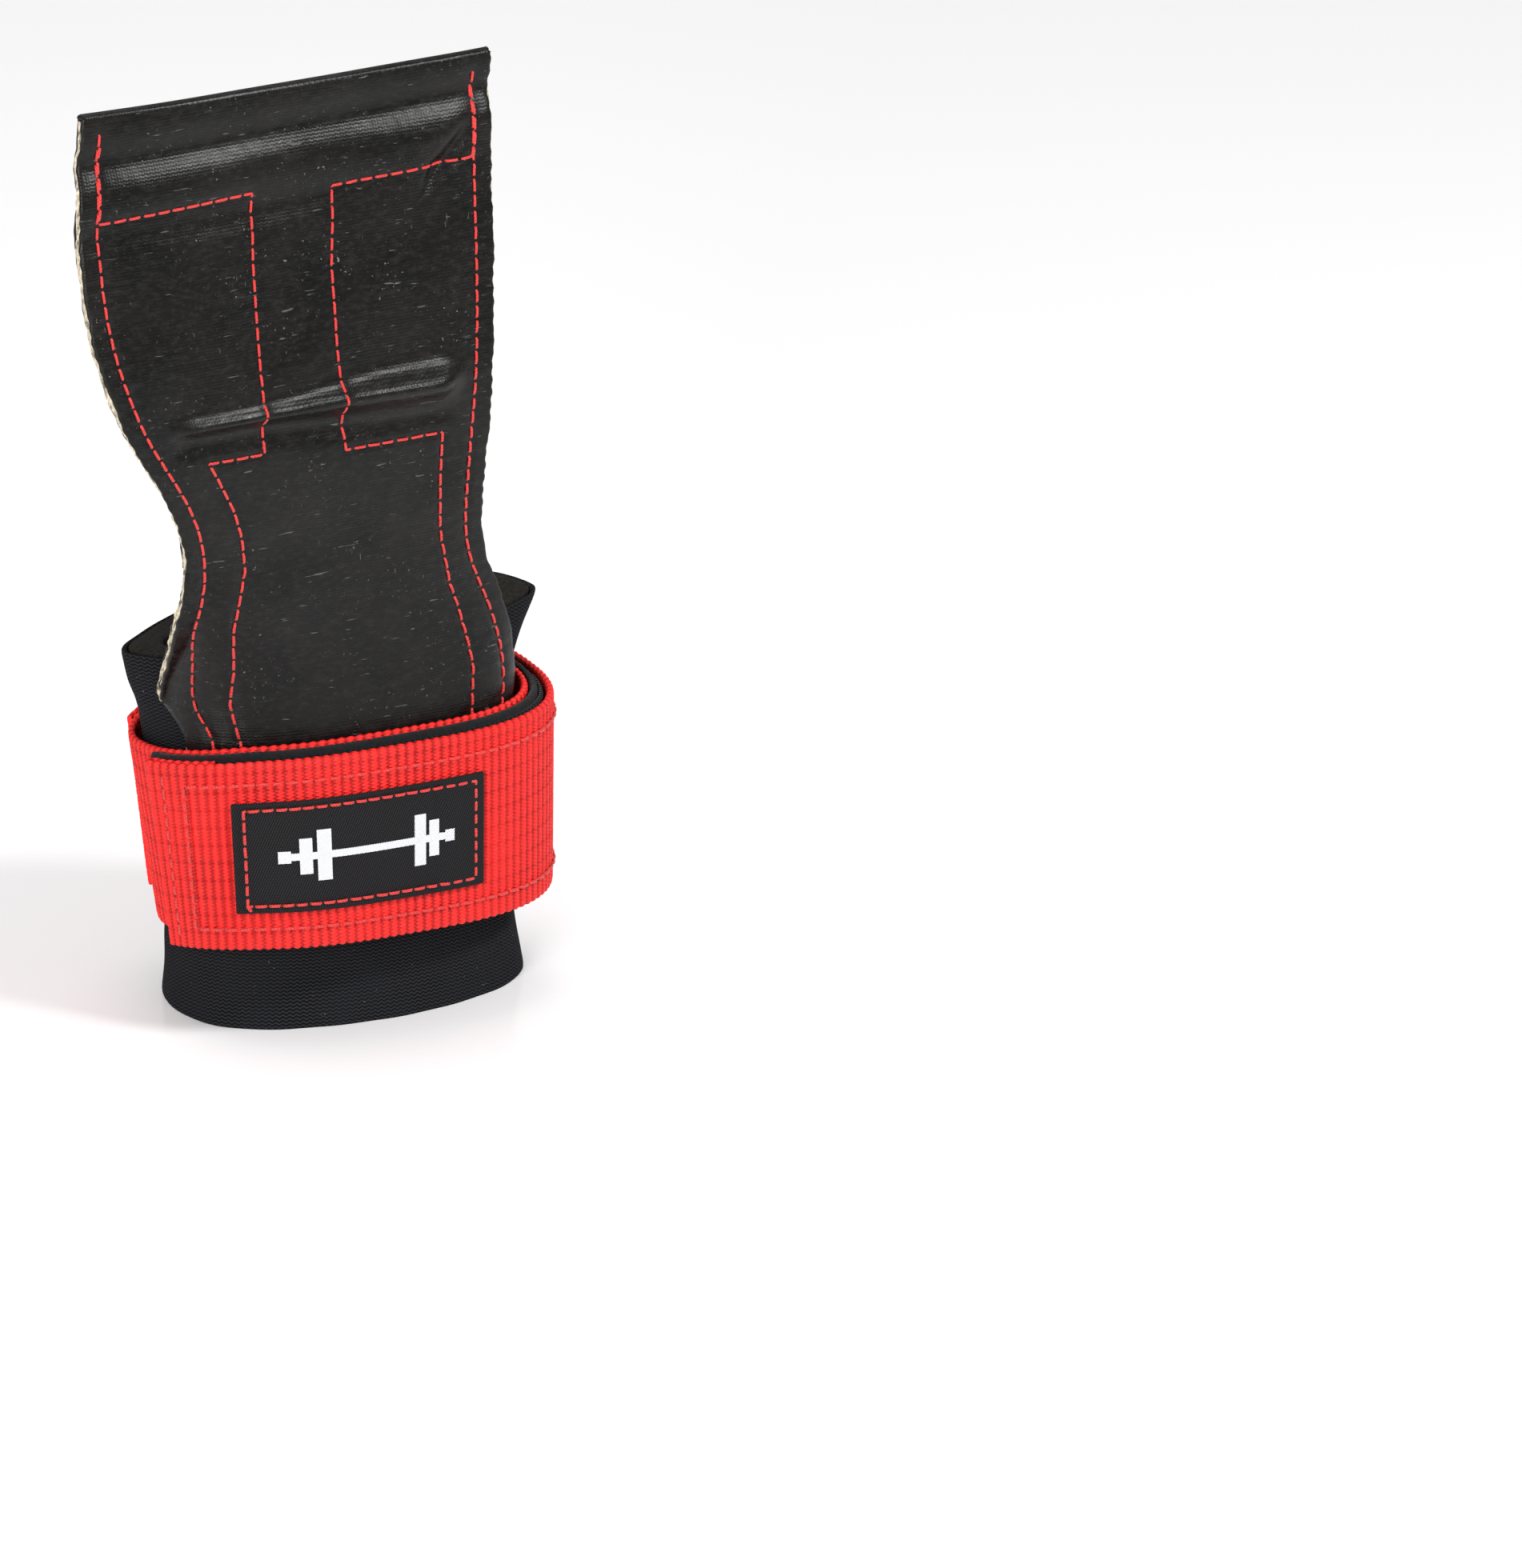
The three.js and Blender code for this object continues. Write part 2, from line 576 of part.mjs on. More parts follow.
const panelTop = flapTop - 21;
const stripMiddle = 15 - halfLength;        // the plain strip between the two panels
const insideLeft = (inset, z) => [flapLeft(z) + inset, z];
const insideRight = (inset, z) => [flapRight(z) - inset, z];
const panelCorners = {
  left: [insideLeft(seamInset + 1.2, panelTop), [stripMiddle - 8.3, panelTop],
    [stripMiddle - 9.6, panelTop - 22], [stripMiddle - 9, fingerFoldHeight - 8.3],
    insideLeft(11.9, fingerFoldHeight - 8.3), insideLeft(11.5, fingerFoldHeight - 19),
    insideLeft(11.3, fingerFoldHeight - 32), insideLeft(10.1, strapTop + 25),
    insideLeft(9.8, strapTop + 15), insideLeft(8, strapTop + 1.1)],
  right: [insideRight(seamInset + 1.2, panelTop), [stripMiddle + 8.4, panelTop],
    [stripMiddle + 6.5, panelTop - 28], [stripMiddle + 8, fingerFoldHeight - 10.5], insideRight(9.5, fingerFoldHeight - 10.5),
    insideRight(8.9, fingerFoldHeight - 31), insideRight(10, strapTop + 21.7), insideRight(10.6, strapTop + 9.1),
    insideRight(10.8, strapTop + 1.1)],
};
const sewnParts = [['palm', wristFold[1], fingerFold[0]], ['finger', fingerFold[1], flapTop - 6]];
for (const [part, low, high] of sewnParts) {
  flapThread(`${part}_border_thread_left`, borderCorners(-1), low + 0.4, high - 0.4);
  flapThread(`${part}_border_thread_right`, borderCorners(1), low + 0.4, high - 0.4);
  flapThread(`${part}_panel_thread_left`, panelCorners.left, low + 0.4, high - 0.4);
  flapThread(`${part}_panel_thread_right`, panelCorners.right, low + 0.4, high - 0.4);
}

const labelInset = 2;
const labelLine = [labelTurns[0] + asTurn(labelInset), labelTurns[1] - asTurn(labelInset)];
const labelEdges = [labelRise + labelInset, labelRise + labelHeight - labelInset];
const labelThread = [];
const labelCorners = [[labelLine[0], labelEdges[0]], [labelLine[1], labelEdges[0]], [labelLine[1], labelEdges[1]],
  [labelLine[0], labelEdges[1]]];
labelCorners.forEach(([turn, z], i) => {
  const [nextTurn, nextZ] = labelCorners[(i + 1) % 4];
  const steps = i % 2 === 0 ? 14 : 3;
  for (let k = 0; k < steps; k++) labelThread.push([mix(turn, nextTurn, k / steps), mix(z, nextZ, k / steps)]);
});
const labelLift = tongueOuter + gap + labelThickness + threadLift;
const labelPoints = labelThread.map(([turn, z]) => bandPoint(turn, z, labelLift));
tube('label_thread', colours.thread, labelPoints, threadRadius, 5, true, (j) => {
  const [turn, z] = labelThread[j];
  return bandPoint(turn, z, labelLift + 1).sub(bandPoint(turn, z, labelLift));
});

// ---- the origin is at the middle of the box's underside ----

const box = new THREE.Box3().setFromObject(group);
const middle = box.getCenter(new THREE.Vector3());
group.position.set(-middle.x, -middle.y, -box.min.z);
group.updateMatrixWorld(true);

export default group;
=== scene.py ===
"""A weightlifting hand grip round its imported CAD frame. Shapes are worked out in millimetres and made in metres."""
import functools
import math

import bpy
import numpy as np
from mathutils import Matrix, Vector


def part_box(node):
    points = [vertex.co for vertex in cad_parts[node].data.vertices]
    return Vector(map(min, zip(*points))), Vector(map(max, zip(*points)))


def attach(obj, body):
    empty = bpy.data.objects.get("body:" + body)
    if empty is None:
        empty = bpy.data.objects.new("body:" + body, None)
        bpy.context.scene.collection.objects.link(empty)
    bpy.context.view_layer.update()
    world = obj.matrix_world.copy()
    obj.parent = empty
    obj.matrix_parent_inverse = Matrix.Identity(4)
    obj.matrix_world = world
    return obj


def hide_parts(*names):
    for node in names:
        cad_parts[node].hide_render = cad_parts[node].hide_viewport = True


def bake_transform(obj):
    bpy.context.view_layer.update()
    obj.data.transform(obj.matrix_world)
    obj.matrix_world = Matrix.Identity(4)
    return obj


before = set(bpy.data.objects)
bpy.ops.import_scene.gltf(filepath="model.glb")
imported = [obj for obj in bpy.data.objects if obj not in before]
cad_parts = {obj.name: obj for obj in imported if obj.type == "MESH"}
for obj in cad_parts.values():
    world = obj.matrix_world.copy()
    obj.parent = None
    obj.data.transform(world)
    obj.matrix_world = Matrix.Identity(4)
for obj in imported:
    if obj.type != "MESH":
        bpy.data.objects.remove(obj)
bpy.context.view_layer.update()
MM = 0.001


# ---- sizes that the CAD states, in millimetres ----

def cad_box(node):
    return [np.array(corner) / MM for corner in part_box(node)]


CUFF = cad_box("cuff_outer_facing")
BASE = cad_box("base_webbing")
LEFT_REACH, BACK_REACH = 45.5, 24.0      # the cuff's widest half lengths, from its own middle
SHIFT = np.array([CUFF[0][0] + LEFT_REACH, CUFF[1][1] - BACK_REACH, 0.0])
CUFF_HEIGHT = CUFF[1][2]
CUFF_WALL = 6.4
WEBBING_WIDTH, WEBBING_THICK = 38.0, 1.6
STRAP_TOP = BASE[1][2]
STRAP_RISE = STRAP_TOP - WEBBING_WIDTH
STRAP_DIP, TONGUE_DROP = 4.8, 1.1
TAPE_THICK, TAPE_WIDTH = 1.2, 37.2
GAP = 0.3
LOOP_INNER = WEBBING_THICK + GAP
HOOK_INNER = LOOP_INNER + TAPE_THICK + GAP
TONGUE_INNER = HOOK_INNER + TAPE_THICK + GAP
TONGUE_OUTER = TONGUE_INNER + WEBBING_THICK
FLAP_THICK = 2.8
FINGER_FOLD = 128.0
WRIST_FOLD = STRAP_TOP + 3.1
STRAP_START, STRAP_END = 0.0696, 0.972       # turns round the cuff
TONGUE_TIP, TONGUE_HINGE = 0.293, 0.72
CUFF_GAP = 0.012
CUFF_LEVELS = {      # height: left, right, front, back half lengths and squareness
    0.0: (35.5, 35.0, 22.0, 21.0, 2.35),
    STRAP_RISE: (34.4, 31.2, 20.6, 20.0, 2.35),
    STRAP_TOP: (40.5, 31.5, 20.7, 21.0, 2.35),
    CUFF_HEIGHT: (45.5, 40.0, 16.0, 24.0, 1.6),
}


# ---- plan ovals: four quarter superellipses; turn 0 is the back, 0.25 left, 0.5 front, 0.75 right ----

def ease(low, high, value):
    t = np.clip((np.asarray(value, float) - low) / (high - low), 0, 1)
    return t * t * (3 - 2 * t)


def cuff_oval(z):
    heights = list(CUFF_LEVELS)
    return [np.interp(z, heights, [CUFF_LEVELS[h][k] for h in heights]) for k in range(5)]


def outer_oval(z):
    left, right, front, back, power = cuff_oval(z)
    return left, right, front, back, power, power


def lining_oval(z):
    left, right, front, back, power = cuff_oval(z)
    ends = CUFF_WALL * (1 + 0.6 * float(ease(STRAP_TOP, CUFF_HEIGHT, z)))
    return left - ends, right - ends, front - CUFF_WALL, back - CUFF_WALL, power, power


def strap_oval(z):
    left, right, front, back, power = cuff_oval(min(max(z, STRAP_RISE), STRAP_TOP))
    over = GAP + 0.1
    return left + over, right + over, front + 2 * GAP + FLAP_THICK + 0.4, back + over, 3.0, power


@functools.lru_cache(maxsize=None)
def quarter_table(wide, tall, power):
    angle = np.linspace(math.pi / 2, 0, 90)
    c, s = np.cos(angle), np.sin(angle)
    radius = ((c / wide) ** power + (s / tall) ** power) ** (-1 / power)
    x, y = radius * c, radius * s
    return x, y, np.concatenate([[0], np.cumsum(np.hypot(np.diff(x), np.diff(y)))])


def quarter(wide, tall, power, share):
    """Points of a quarter superellipse at shares of its length from (0, tall), and its outward slopes there."""
    x, y, length = quarter_table(wide, tall, power)
    px, py = (np.interp(share * length[-1], length, v) for v in (x, y))
    sx, sy = px ** (power - 1) / wide ** power, py ** (power - 1) / tall ** power
    size = np.hypot(sx, sy)
    return px, py, sx / size, sy / size


def on_oval(oval, turns, z, offset=0.0):
    """Points on an oval at turns, offset outwards, as rows of x, y, z."""
    left, right, front, back, front_power, back_power = oval
    turns = np.asarray(turns, float)
    place = (turns % 1.0) * 4
    side = np.floor(place).astype(int) % 4
    share = place - np.floor(place)
    from_middle = np.where(side % 2 == 0, share, 1 - share)
    out = np.zeros((len(turns), 3))
    for k in range(4):
        wide = left if k < 2 else right
        tall, power = (back, back_power) if k in (0, 3) else (front, front_power)
        here = side == k
        x, y, sx, sy = quarter(wide, tall, power, from_middle[here])
        off = offset if np.isscalar(offset) else offset[here]
        out[here, 0] = (-1 if k < 2 else 1) * (x + sx * off)
        out[here, 1] = (1 if k in (0, 3) else -1) * (y + sy * off)
    out[:, 2] = z
    return out


def dip_at(turns):
    distance = np.abs(np.asarray(turns) % 1.0 - 0.22) / 0.16
    return STRAP_DIP * (1 - ease(0, 1, distance))


def band_line(turns, z, offset):
    """A line along the strap at a height and an offset, sinking at the left end as the strap does."""
    points = on_oval(strap_oval(z), turns, z, offset)
    points[:, 2] -= dip_at(turns)
    return points


# ---- mesh builders ----

def make_piece(name, verts, faces, uvs, material, creases=None):
    """One mesh object from points in mm in the CAD's own frame; uvs is one pair, and creases one flag, for each."""
    mesh = bpy.data.meshes.new(name)
    verts = (np.asarray(verts, float) + SHIFT) * MM
    quads = np.asarray(faces, np.int32)
    mesh.vertices.add(len(verts))
    mesh.vertices.foreach_set("co", verts.astype(np.float32).ravel())
    mesh.loops.add(quads.size)
    mesh.loops.foreach_set("vertex_index", quads.ravel())
    mesh.polygons.add(len(quads))
    mesh.polygons.foreach_set("loop_start", np.arange(0, quads.size, quads.shape[1], dtype=np.int32))
    mesh.update(calc_edges=True)
    mesh.validate()
    layer = mesh.uv_layers.new(name="UVMap")
    index = np.zeros(len(mesh.loops), np.int32)
    mesh.loops.foreach_get("vertex_index", index)
    layer.data.foreach_set("uv", np.asarray(uvs, np.float32)[index].ravel())
    mesh.shade_smooth()
    if creases is not None:
        pairs = np.zeros(2 * len(mesh.edges), np.int32)
        mesh.edges.foreach_get("vertices", pairs)
        mesh.attributes.new("sharp_edge", "BOOLEAN", "EDGE")
        mesh.attributes["sharp_edge"].data.foreach_set("value", creases[pairs.reshape(-1, 2)].all(axis=1))
    mesh.materials.append(material)
    obj = bpy.data.objects.new(name, mesh)
    bpy.context.scene.collection.objects.link(obj)
    return obj


def grid_faces(rows, columns, wrap=False):
    """Quads of a grid of points stored row by row; wrap joins the last column to the first."""
    r, c = np.arange(rows - 1)[:, None], np.arange(columns if wrap else columns - 1)[None, :]
    a = r * columns + c
    b = r * columns + (c + 1) % columns
    return np.stack([a, b, b + columns, a + columns], axis=-1).reshape(-1, 4)


def ends_of(rows, ring):
    """Flags the points of a tube's first and last rings."""
    flags = np.zeros(rows * ring, bool)
    flags[:ring] = flags[-ring:] = True
    return flags


def facing_out(points, faces):
    """The faces, turned over if they enclose a negative volume."""
    p = np.asarray(points)
    a, b, c, d = (p[faces[:, k]] for k in range(4))
    volume = (a * np.cross(b, c)).sum() + (a * np.cross(c, d)).sum()
    return faces[:, ::-1] if volume < 0 else faces


def unit(v):
    return v / np.maximum(np.linalg.norm(v, axis=-1, keepdims=True), 1e-9)


def lengths_along(line):
    """The distance of every point of a line from its start."""
    return np.concatenate([[0], np.cumsum(np.linalg.norm(np.diff(line, axis=0), axis=1))])


def spots_at(where, lengths, line):
    """Values of a line's points at distances along it."""
    return np.stack([np.interp(where, lengths, line[:, k]) for k in range(3)], axis=-1)


class Strip:
    """A flat strap along a path, from its lower and upper edge lines at mid thickness."""

    def __init__(self, low, high, thickness, outward=1.0):
        self.low, self.high, self.thickness = low, high, thickness
        middle = (low + high) / 2
        self.s = lengths_along(middle)
        self.width = float(np.linalg.norm(high - low, axis=1).mean())
        self.up = unit(high - low)
        tangent = unit(np.gradient(middle, axis=0))
        self.normal = outward * unit(np.cross(tangent, self.up))

    def build(self, name, material, rows, relief=None, back_relief=None, scallop=None):
        across = np.concatenate([[0, 0.003, 0.009, 0.018], np.linspace(0.03, 0.97, rows), [0.982, 0.991, 0.997, 1]])
        bulge = (1 - np.abs(2 * across - 1) ** 60.0) ** (1 / 2.2)         # flat faces with rounded edges
        half = self.thickness / 2
        count = len(across)
        order = np.concatenate([np.arange(count), np.arange(count - 2, 0, -1)])
        front = np.concatenate([np.ones(count, bool), np.zeros(count - 2, bool)])
        a = across[order][None, :]
        s = self.s[:, None] + 0 * a
        z = a * self.width + 0 * s
        shape = bulge[order][None, :] * half
        push = np.where(front[None, :], shape, -shape)
        if relief is not None:
            push = push + np.where(front[None, :], relief(s, z), 0) * bulge[order][None, :]
            under = relief if back_relief is None else back_relief
            push = push - np.where(front[None, :], 0, under(s + 0.9, z)) * bulge[order][None, :]
        points = self.low[:, None] + (self.high - self.low)[:, None] * a[..., None]
        points = points + self.normal[:, None] * push[..., None]
        if scallop is not None:
            at_edge = np.exp(-(np.minimum(a, 1 - a) * self.width / 0.7) ** 2) * np.sign(a - 0.5)
            points = points + self.up[:, None] * (scallop(s) * at_edge)[..., None]
        rings, ring = points.shape[:2]
        faces = grid_faces(rings, ring, wrap=True)
        caps = []
        for base, flip in ((0, 1), ((rings - 1) * ring, -1)):
            for k in range(1, count - 2):
                quad = [base + k, base + k + 1, base + ring - k - 1, base + ring - k]
                caps.append(quad[::flip])
        flat = points.reshape(-1, 3)
        faces = facing_out(flat, np.concatenate([faces, np.array(caps)[:, ::-1]]))
        uvs = np.stack([s, z], axis=-1).reshape(-1, 2) / 100
        return make_piece(name, flat, faces, uvs, material, ends_of(rings, ring))


# ---- materials ----

class Shader:
    """A principled material built from nodes, with short helpers for the maths."""

    def __init__(self, name, **values):
        self.material = bpy.data.materials.new(name)
        self.material.use_nodes = True
        self.tree = self.material.node_tree
        self.bsdf = self.tree.nodes["Principled BSDF"]
        for key, value in values.items():
            self.bsdf.inputs[key.replace("_", " ")].default_value = value

    def node(self, kind, **inputs):
        node = self.tree.nodes.new(kind)
        for key, value in inputs.items():
            self.feed(node.inputs[key.replace("_", " ")], value)
        return node

    def feed(self, socket, value):
        if isinstance(value, bpy.types.NodeSocket):
            self.tree.links.new(value, socket)
        else:
            socket.default_value = value

    def maths(self, operation, a, b=0.0, c=0.0):
        node = self.tree.nodes.new("ShaderNodeMath")
        node.operation = operation
        for socket, value in zip(node.inputs, (a, b, c)):
            self.feed(socket, value)
        return node.outputs[0]

    def times(self, a, b):
        return self.maths("MULTIPLY", a, b)

    def place(self):
        """The object's own coordinates, in millimetres."""
        return self.scaled(self.node("ShaderNodeTexCoord").outputs["Object"], (1000, 1000, 1000))

    def surface(self):
        """The distances along and across a piece, in millimetres."""
        split = self.node("ShaderNodeSeparateXYZ", Vector=self.scaled(
            self.node("ShaderNodeTexCoord").outputs["UV"], (100, 100, 100)))
        return split.outputs[0], split.outputs[1]

    def scaled(self, vector, scale, offset=(0, 0, 0)):
        return self.node("ShaderNodeMapping", Vector=vector, Scale=scale, Location=offset).outputs[0]

    def noise(self, vector, scale, detail=3.0, rough=0.55):
        return self.node("ShaderNodeTexNoise", Vector=vector, Scale=scale, Detail=detail,
                         Roughness=rough).outputs["Fac"]

    def spread(self, value, low, high, to_low=0.0, to_high=1.0):
        node = self.node("ShaderNodeMapRange", Value=value)
        for key, number in (("From Min", low), ("From Max", high), ("To Min", to_low), ("To Max", to_high)):
            self.feed(node.inputs[key], number)
        return node.outputs[0]

    def wave(self, value, pitch, phase=0.0):
        """0 to 1 and back over each pitch, as a rounded rib."""
        turns = self.maths("MULTIPLY_ADD", value, 2 * math.pi / pitch, phase)
        return self.maths("MULTIPLY_ADD", self.maths("COSINE", turns), 0.5, 0.5)

    def mix(self, share, a, b):
        node = self.tree.nodes.new("ShaderNodeMix")
        node.data_type = "RGBA"
        self.feed(node.inputs[0], share)
        self.feed(node.inputs[6], a)
        self.feed(node.inputs[7], b)
        return node.outputs[2]

    def bump(self, *heights):
        """Bumps stacked on each other: (height, strength, distance in millimetres)."""
        normal = None
        for height, strength, distance in heights:
            node = self.node("ShaderNodeBump", Height=height, Strength=strength, Distance=distance * MM)
            if normal is not None:
                self.feed(node.inputs["Normal"], normal)
            normal = node.outputs[0]
        self.feed(self.bsdf.inputs["Normal"], normal)
        return self.material

    def tint(self, value):
        self.feed(self.bsdf.inputs["Base Color"], value)

    def roughen(self, value):
        self.feed(self.bsdf.inputs["Roughness"], value)


def colour(red, green, blue):
    return (red, green, blue, 1.0)


RIB_PITCH, LANE_PITCH, YARN_PITCH = 1.8, 3.6, 0.72


def webbing_material():
    shader = Shader("red_webbing", Roughness=0.6, Specular_IOR_Level=0.3)
    along, across = shader.surface()
    place = shader.place()
    zigzag = shader.times(shader.wave(across, YARN_PITCH), 0.34)
    side = shader.maths("ADD", along, zigzag)
    rib = shader.wave(side, RIB_PITCH)
    lane = shader.maths("POWER", shader.wave(across, LANE_PITCH), 10.0)
    worn = shader.noise(place, 0.06, 3.0)
    fine = shader.noise(place, 2.4, 2.0)
    ridge = shader.maths("POWER", rib, 0.6)
    # painted light and shade: the rib crests are painted a brighter red, and the hollows between ribs and the lane
    # grooves a darker red
    rib_light_lane_shade = shader.maths("SUBTRACT", ridge, shader.times(lane, 0.4))
    base = shader.mix(shader.spread(rib_light_lane_shade, 0.1, 1.0), colour(0.3, 0.002, 0.002), colour(0.95, 0.018, 0.014))
    shade = shader.mix(shader.spread(worn, 0.35, 0.7, 0.0, 0.5), base, colour(0.74, 0.014, 0.011))
    speck = shader.mix(shader.spread(fine, 0.62, 0.8, 0.0, 0.45), shade, colour(0.92, 0.13, 0.11))
    shader.tint(speck)
    yarn = shader.times(shader.wave(across, YARN_PITCH / 2, 0.8), rib)
    return shader.bump((ridge, 0.8, 0.22), (yarn, 0.7, 0.09), (lane, -0.6, 0.12), (fine, 0.35, 0.05))


def knit_material():
    shader = Shader("black_knit", Roughness=0.95, Specular_IOR_Level=0.08)
    along, across = shader.surface()
    place = shader.place()
    zigzag = shader.times(shader.wave(along, 1.3), 0.34)
    course = shader.wave(shader.maths("ADD", across, zigzag), 0.72)
    wale = shader.wave(along, 1.3, 1.2)
    lint = shader.spread(shader.noise(place, 1.1, 2.0), 0.735, 0.76)
    cloud = shader.noise(place, 0.09, 3.0)
    base = shader.mix(course, colour(0.002, 0.0021, 0.0026), colour(0.025, 0.0255, 0.03))
    faded = shader.mix(shader.spread(cloud, 0.4, 0.7, 0.0, 0.35), base, colour(0.017, 0.0175, 0.021))
    shader.tint(shader.mix(shader.times(lint, 0.35), faded, colour(0.3, 0.29, 0.28)))
    return shader.bump((course, 1.0, 0.22), (wale, 0.15, 0.06), (shader.noise(place, 3.0, 2.0), 0.4, 0.05))


def foam_material():
    shader = Shader("neoprene_foam", Roughness=0.9, Specular_IOR_Level=0.15)
    place = shader.place()
    pores = shader.node("ShaderNodeTexVoronoi", Vector=place, Scale=2.2).outputs["Distance"]
    grain = shader.noise(place, 1.4, 4.0)
    shader.tint(shader.mix(shader.spread(grain, 0.35, 0.7), colour(0.006, 0.0055, 0.0042),
                           colour(0.02, 0.0185, 0.0145)))
    return shader.bump((pores, 0.5, 0.12), (grain, 0.5, 0.15))


def rubber_material():
    """A black rubber coat on canvas: satin, faintly woven, with dust, rubs, fibres and fine scratches."""
    shader = Shader("rubberised_canvas", Specular_IOR_Level=0.19)
    place = shader.place()
    split = shader.node("ShaderNodeSeparateXYZ", Vector=place)
    x, z = split.outputs[0], split.outputs[2]
    picks = shader.wave(shader.maths("ADD", z, shader.times(shader.wave(x, 1.1), 0.12)), 0.6)
    ends = shader.wave(x, 0.55)
    cloud = shader.noise(place, 0.055, 4.0)
    worn = shader.spread(shader.noise(place, 0.035, 3.0), 0.42, 0.62)
    mottle = shader.noise(shader.scaled(place, (0.6, 1.0, 1.3)), 0.9, 5.0, 0.7)
    patchy = shader.spread(shader.noise(place, 0.1, 2.0), 0.45, 0.68)
    dust = shader.times(shader.spread(shader.noise(place, 1.7, 2.0), 0.68, 0.73), patchy)
    slant = shader.scaled(place, (0.22, 0.6, 1.9))
    scratches = shader.spread(shader.noise(slant, 1.0, 2.0), 0.7, 0.74)
    fibre = shader.noise(shader.node("ShaderNodeMapping", Vector=place, Scale=(1.2, 0.5, 0.25),
                                     Rotation=(0, 0.7, 0)).outputs[0], 1.6, 3.0)
    fibres = shader.times(shader.spread(fibre, 0.71, 0.74), worn)
    base = shader.mix(shader.spread(cloud, 0.38, 0.66), colour(0.002, 0.0018, 0.0016), colour(0.006, 0.0055, 0.005))
    rubbed = shader.mix(shader.spread(mottle, 0.48, 0.75, 0.0, 0.6), base, colour(0.02, 0.019, 0.0175))
    marks = shader.maths("ADD", shader.times(dust, 0.75), shader.times(scratches, 0.35))
    dusty = shader.mix(marks, rubbed, colour(0.2, 0.205, 0.2))
    shader.tint(shader.mix(shader.times(fibres, 0.35), dusty, colour(0.19, 0.17, 0.13)))
    rough = shader.spread(mottle, 0.3, 0.7, 0.26, 0.4)
    shader.roughen(shader.maths("ADD", rough, shader.times(marks, 0.35)))
    weave = shader.times(shader.times(picks, shader.spread(ends, 0.0, 1.0, 0.35, 1.0)),
                         shader.spread(worn, 0.0, 1.0, 0.5, 1.0))
    return shader.bump((shader.noise(place, 0.16, 3.0), 0.35, 0.7), (weave, 0.5, 0.06), (mottle, 0.35, 0.1))


def canvas_material():
    shader = Shader("cotton_canvas", Roughness=0.95, Specular_IOR_Level=0.15)
    place = shader.place()
    fibre = shader.noise(shader.scaled(place, (3.0, 3.0, 0.8)), 1.0, 4.0)
    soil = shader.noise(place, 0.5, 3.0)
    base = shader.mix(shader.spread(fibre, 0.3, 0.7), colour(0.32, 0.26, 0.17), colour(0.8, 0.72, 0.56))
    shader.tint(shader.mix(shader.spread(soil, 0.52, 0.64, 0.0, 0.75), base, colour(0.05, 0.045, 0.035)))
    return shader.bump((fibre, 0.8, 0.2))


def tape_material(name, hooks):
    """Hook tape has close rows of stiff loops across it; loop tape is a flat mat of soft fibre."""
    shader = Shader(name, Roughness=0.85, Sheen_Weight=0.08, Specular_IOR_Level=0.15)
    along, across = shader.surface()
    place = shader.place()
    fuzz = shader.noise(place, 1.6 if hooks else 0.9, 4.0, 0.7)
    rows = shader.wave(along, 1.15)
    beads = shader.times(rows, shader.wave(across, 0.75))
    shader.tint(shader.mix(beads if hooks else fuzz, colour(0.002, 0.002, 0.0025), colour(0.016, 0.016, 0.018)))
    if hooks:
        return shader.bump((rows, 0.8, 0.3), (beads, 1.0, 0.4), (fuzz, 0.3, 0.1))
    return shader.bump((fuzz, 1.0, 0.5), (shader.noise(place, 3.0, 3.0), 0.7, 0.2))


def label_material(name, dark, light, bright):
    shader = Shader(name, Roughness=0.55 if bright else 0.75, Specular_IOR_Level=0.3 if bright else 0.12)
    along, across = shader.surface()
    place = shader.place()
    twill = shader.wave(shader.maths("ADD", along, across), 0.5)
    float_yarn = shader.wave(shader.maths("SUBTRACT", along, shader.times(across, 0.45)), 0.5)
    tone = shader.times(twill, float_yarn)
    shader.tint(shader.mix(tone, dark, light))
    return shader.bump((tone, 0.7, 0.08), (shader.noise(place, 2.0, 2.0), 0.2, 0.05))


def thread_material(name, dark, light):
    shader = Shader(name, Roughness=0.45, Sheen_Weight=0.2, Specular_IOR_Level=0.5)
    along, round_it = shader.surface()
    ply = shader.wave(shader.maths("ADD", along, shader.times(round_it, 0.12)), 0.62)
    fibre = shader.noise(shader.place(), 4.0, 2.0)
    shader.tint(shader.mix(shader.times(ply, fibre), dark, light))
    return shader.bump((ply, 0.8, 0.08), (fibre, 0.3, 0.03))


def steel_material():
    shader = Shader("nickel_plated_wire", Metallic=1.0, Base_Color=colour(0.66, 0.66, 0.67))
    place = shader.place()
    draw = shader.noise(shader.scaled(place, (2.0, 2.0, 0.15)), 1.0, 4.0)
    smudge = shader.noise(place, 0.25, 3.0)
    shader.roughen(shader.spread(smudge, 0.3, 0.7, 0.12, 0.27))
    return shader.bump((draw, 0.12, 0.03))


def floor_material():
    shader = Shader("studio_floor", Base_Color=colour(0.93, 0.93, 0.935), Specular_IOR_Level=0.32)
    place = shader.place()
    shader.roughen(shader.spread(shader.noise(place, 0.004, 2.0), 0.3, 0.7, 0.12, 0.17))
    return shader.bump((shader.noise(place, 0.02, 2.0), 0.02, 0.3))


RED = webbing_material()
KNIT = knit_material()
FOAM = foam_material()
RUBBER = rubber_material()
CANVAS = canvas_material()
HOOKS = tape_material("hook_tape_black", True)
LOOPS = tape_material("loop_tape_black", False)
LABEL = label_material("label_weave", colour(0.003, 0.003, 0.0035), colour(0.036, 0.034, 0.036), False)
EMBLEM = label_material("emblem_weave", colour(0.5, 0.51, 0.54), colour(0.9, 0.9, 0.93), True)
THREAD = thread_material("red_thread", colour(0.42, 0.004, 0.003), colour(0.9, 0.03, 0.018))
STEEL = steel_material()


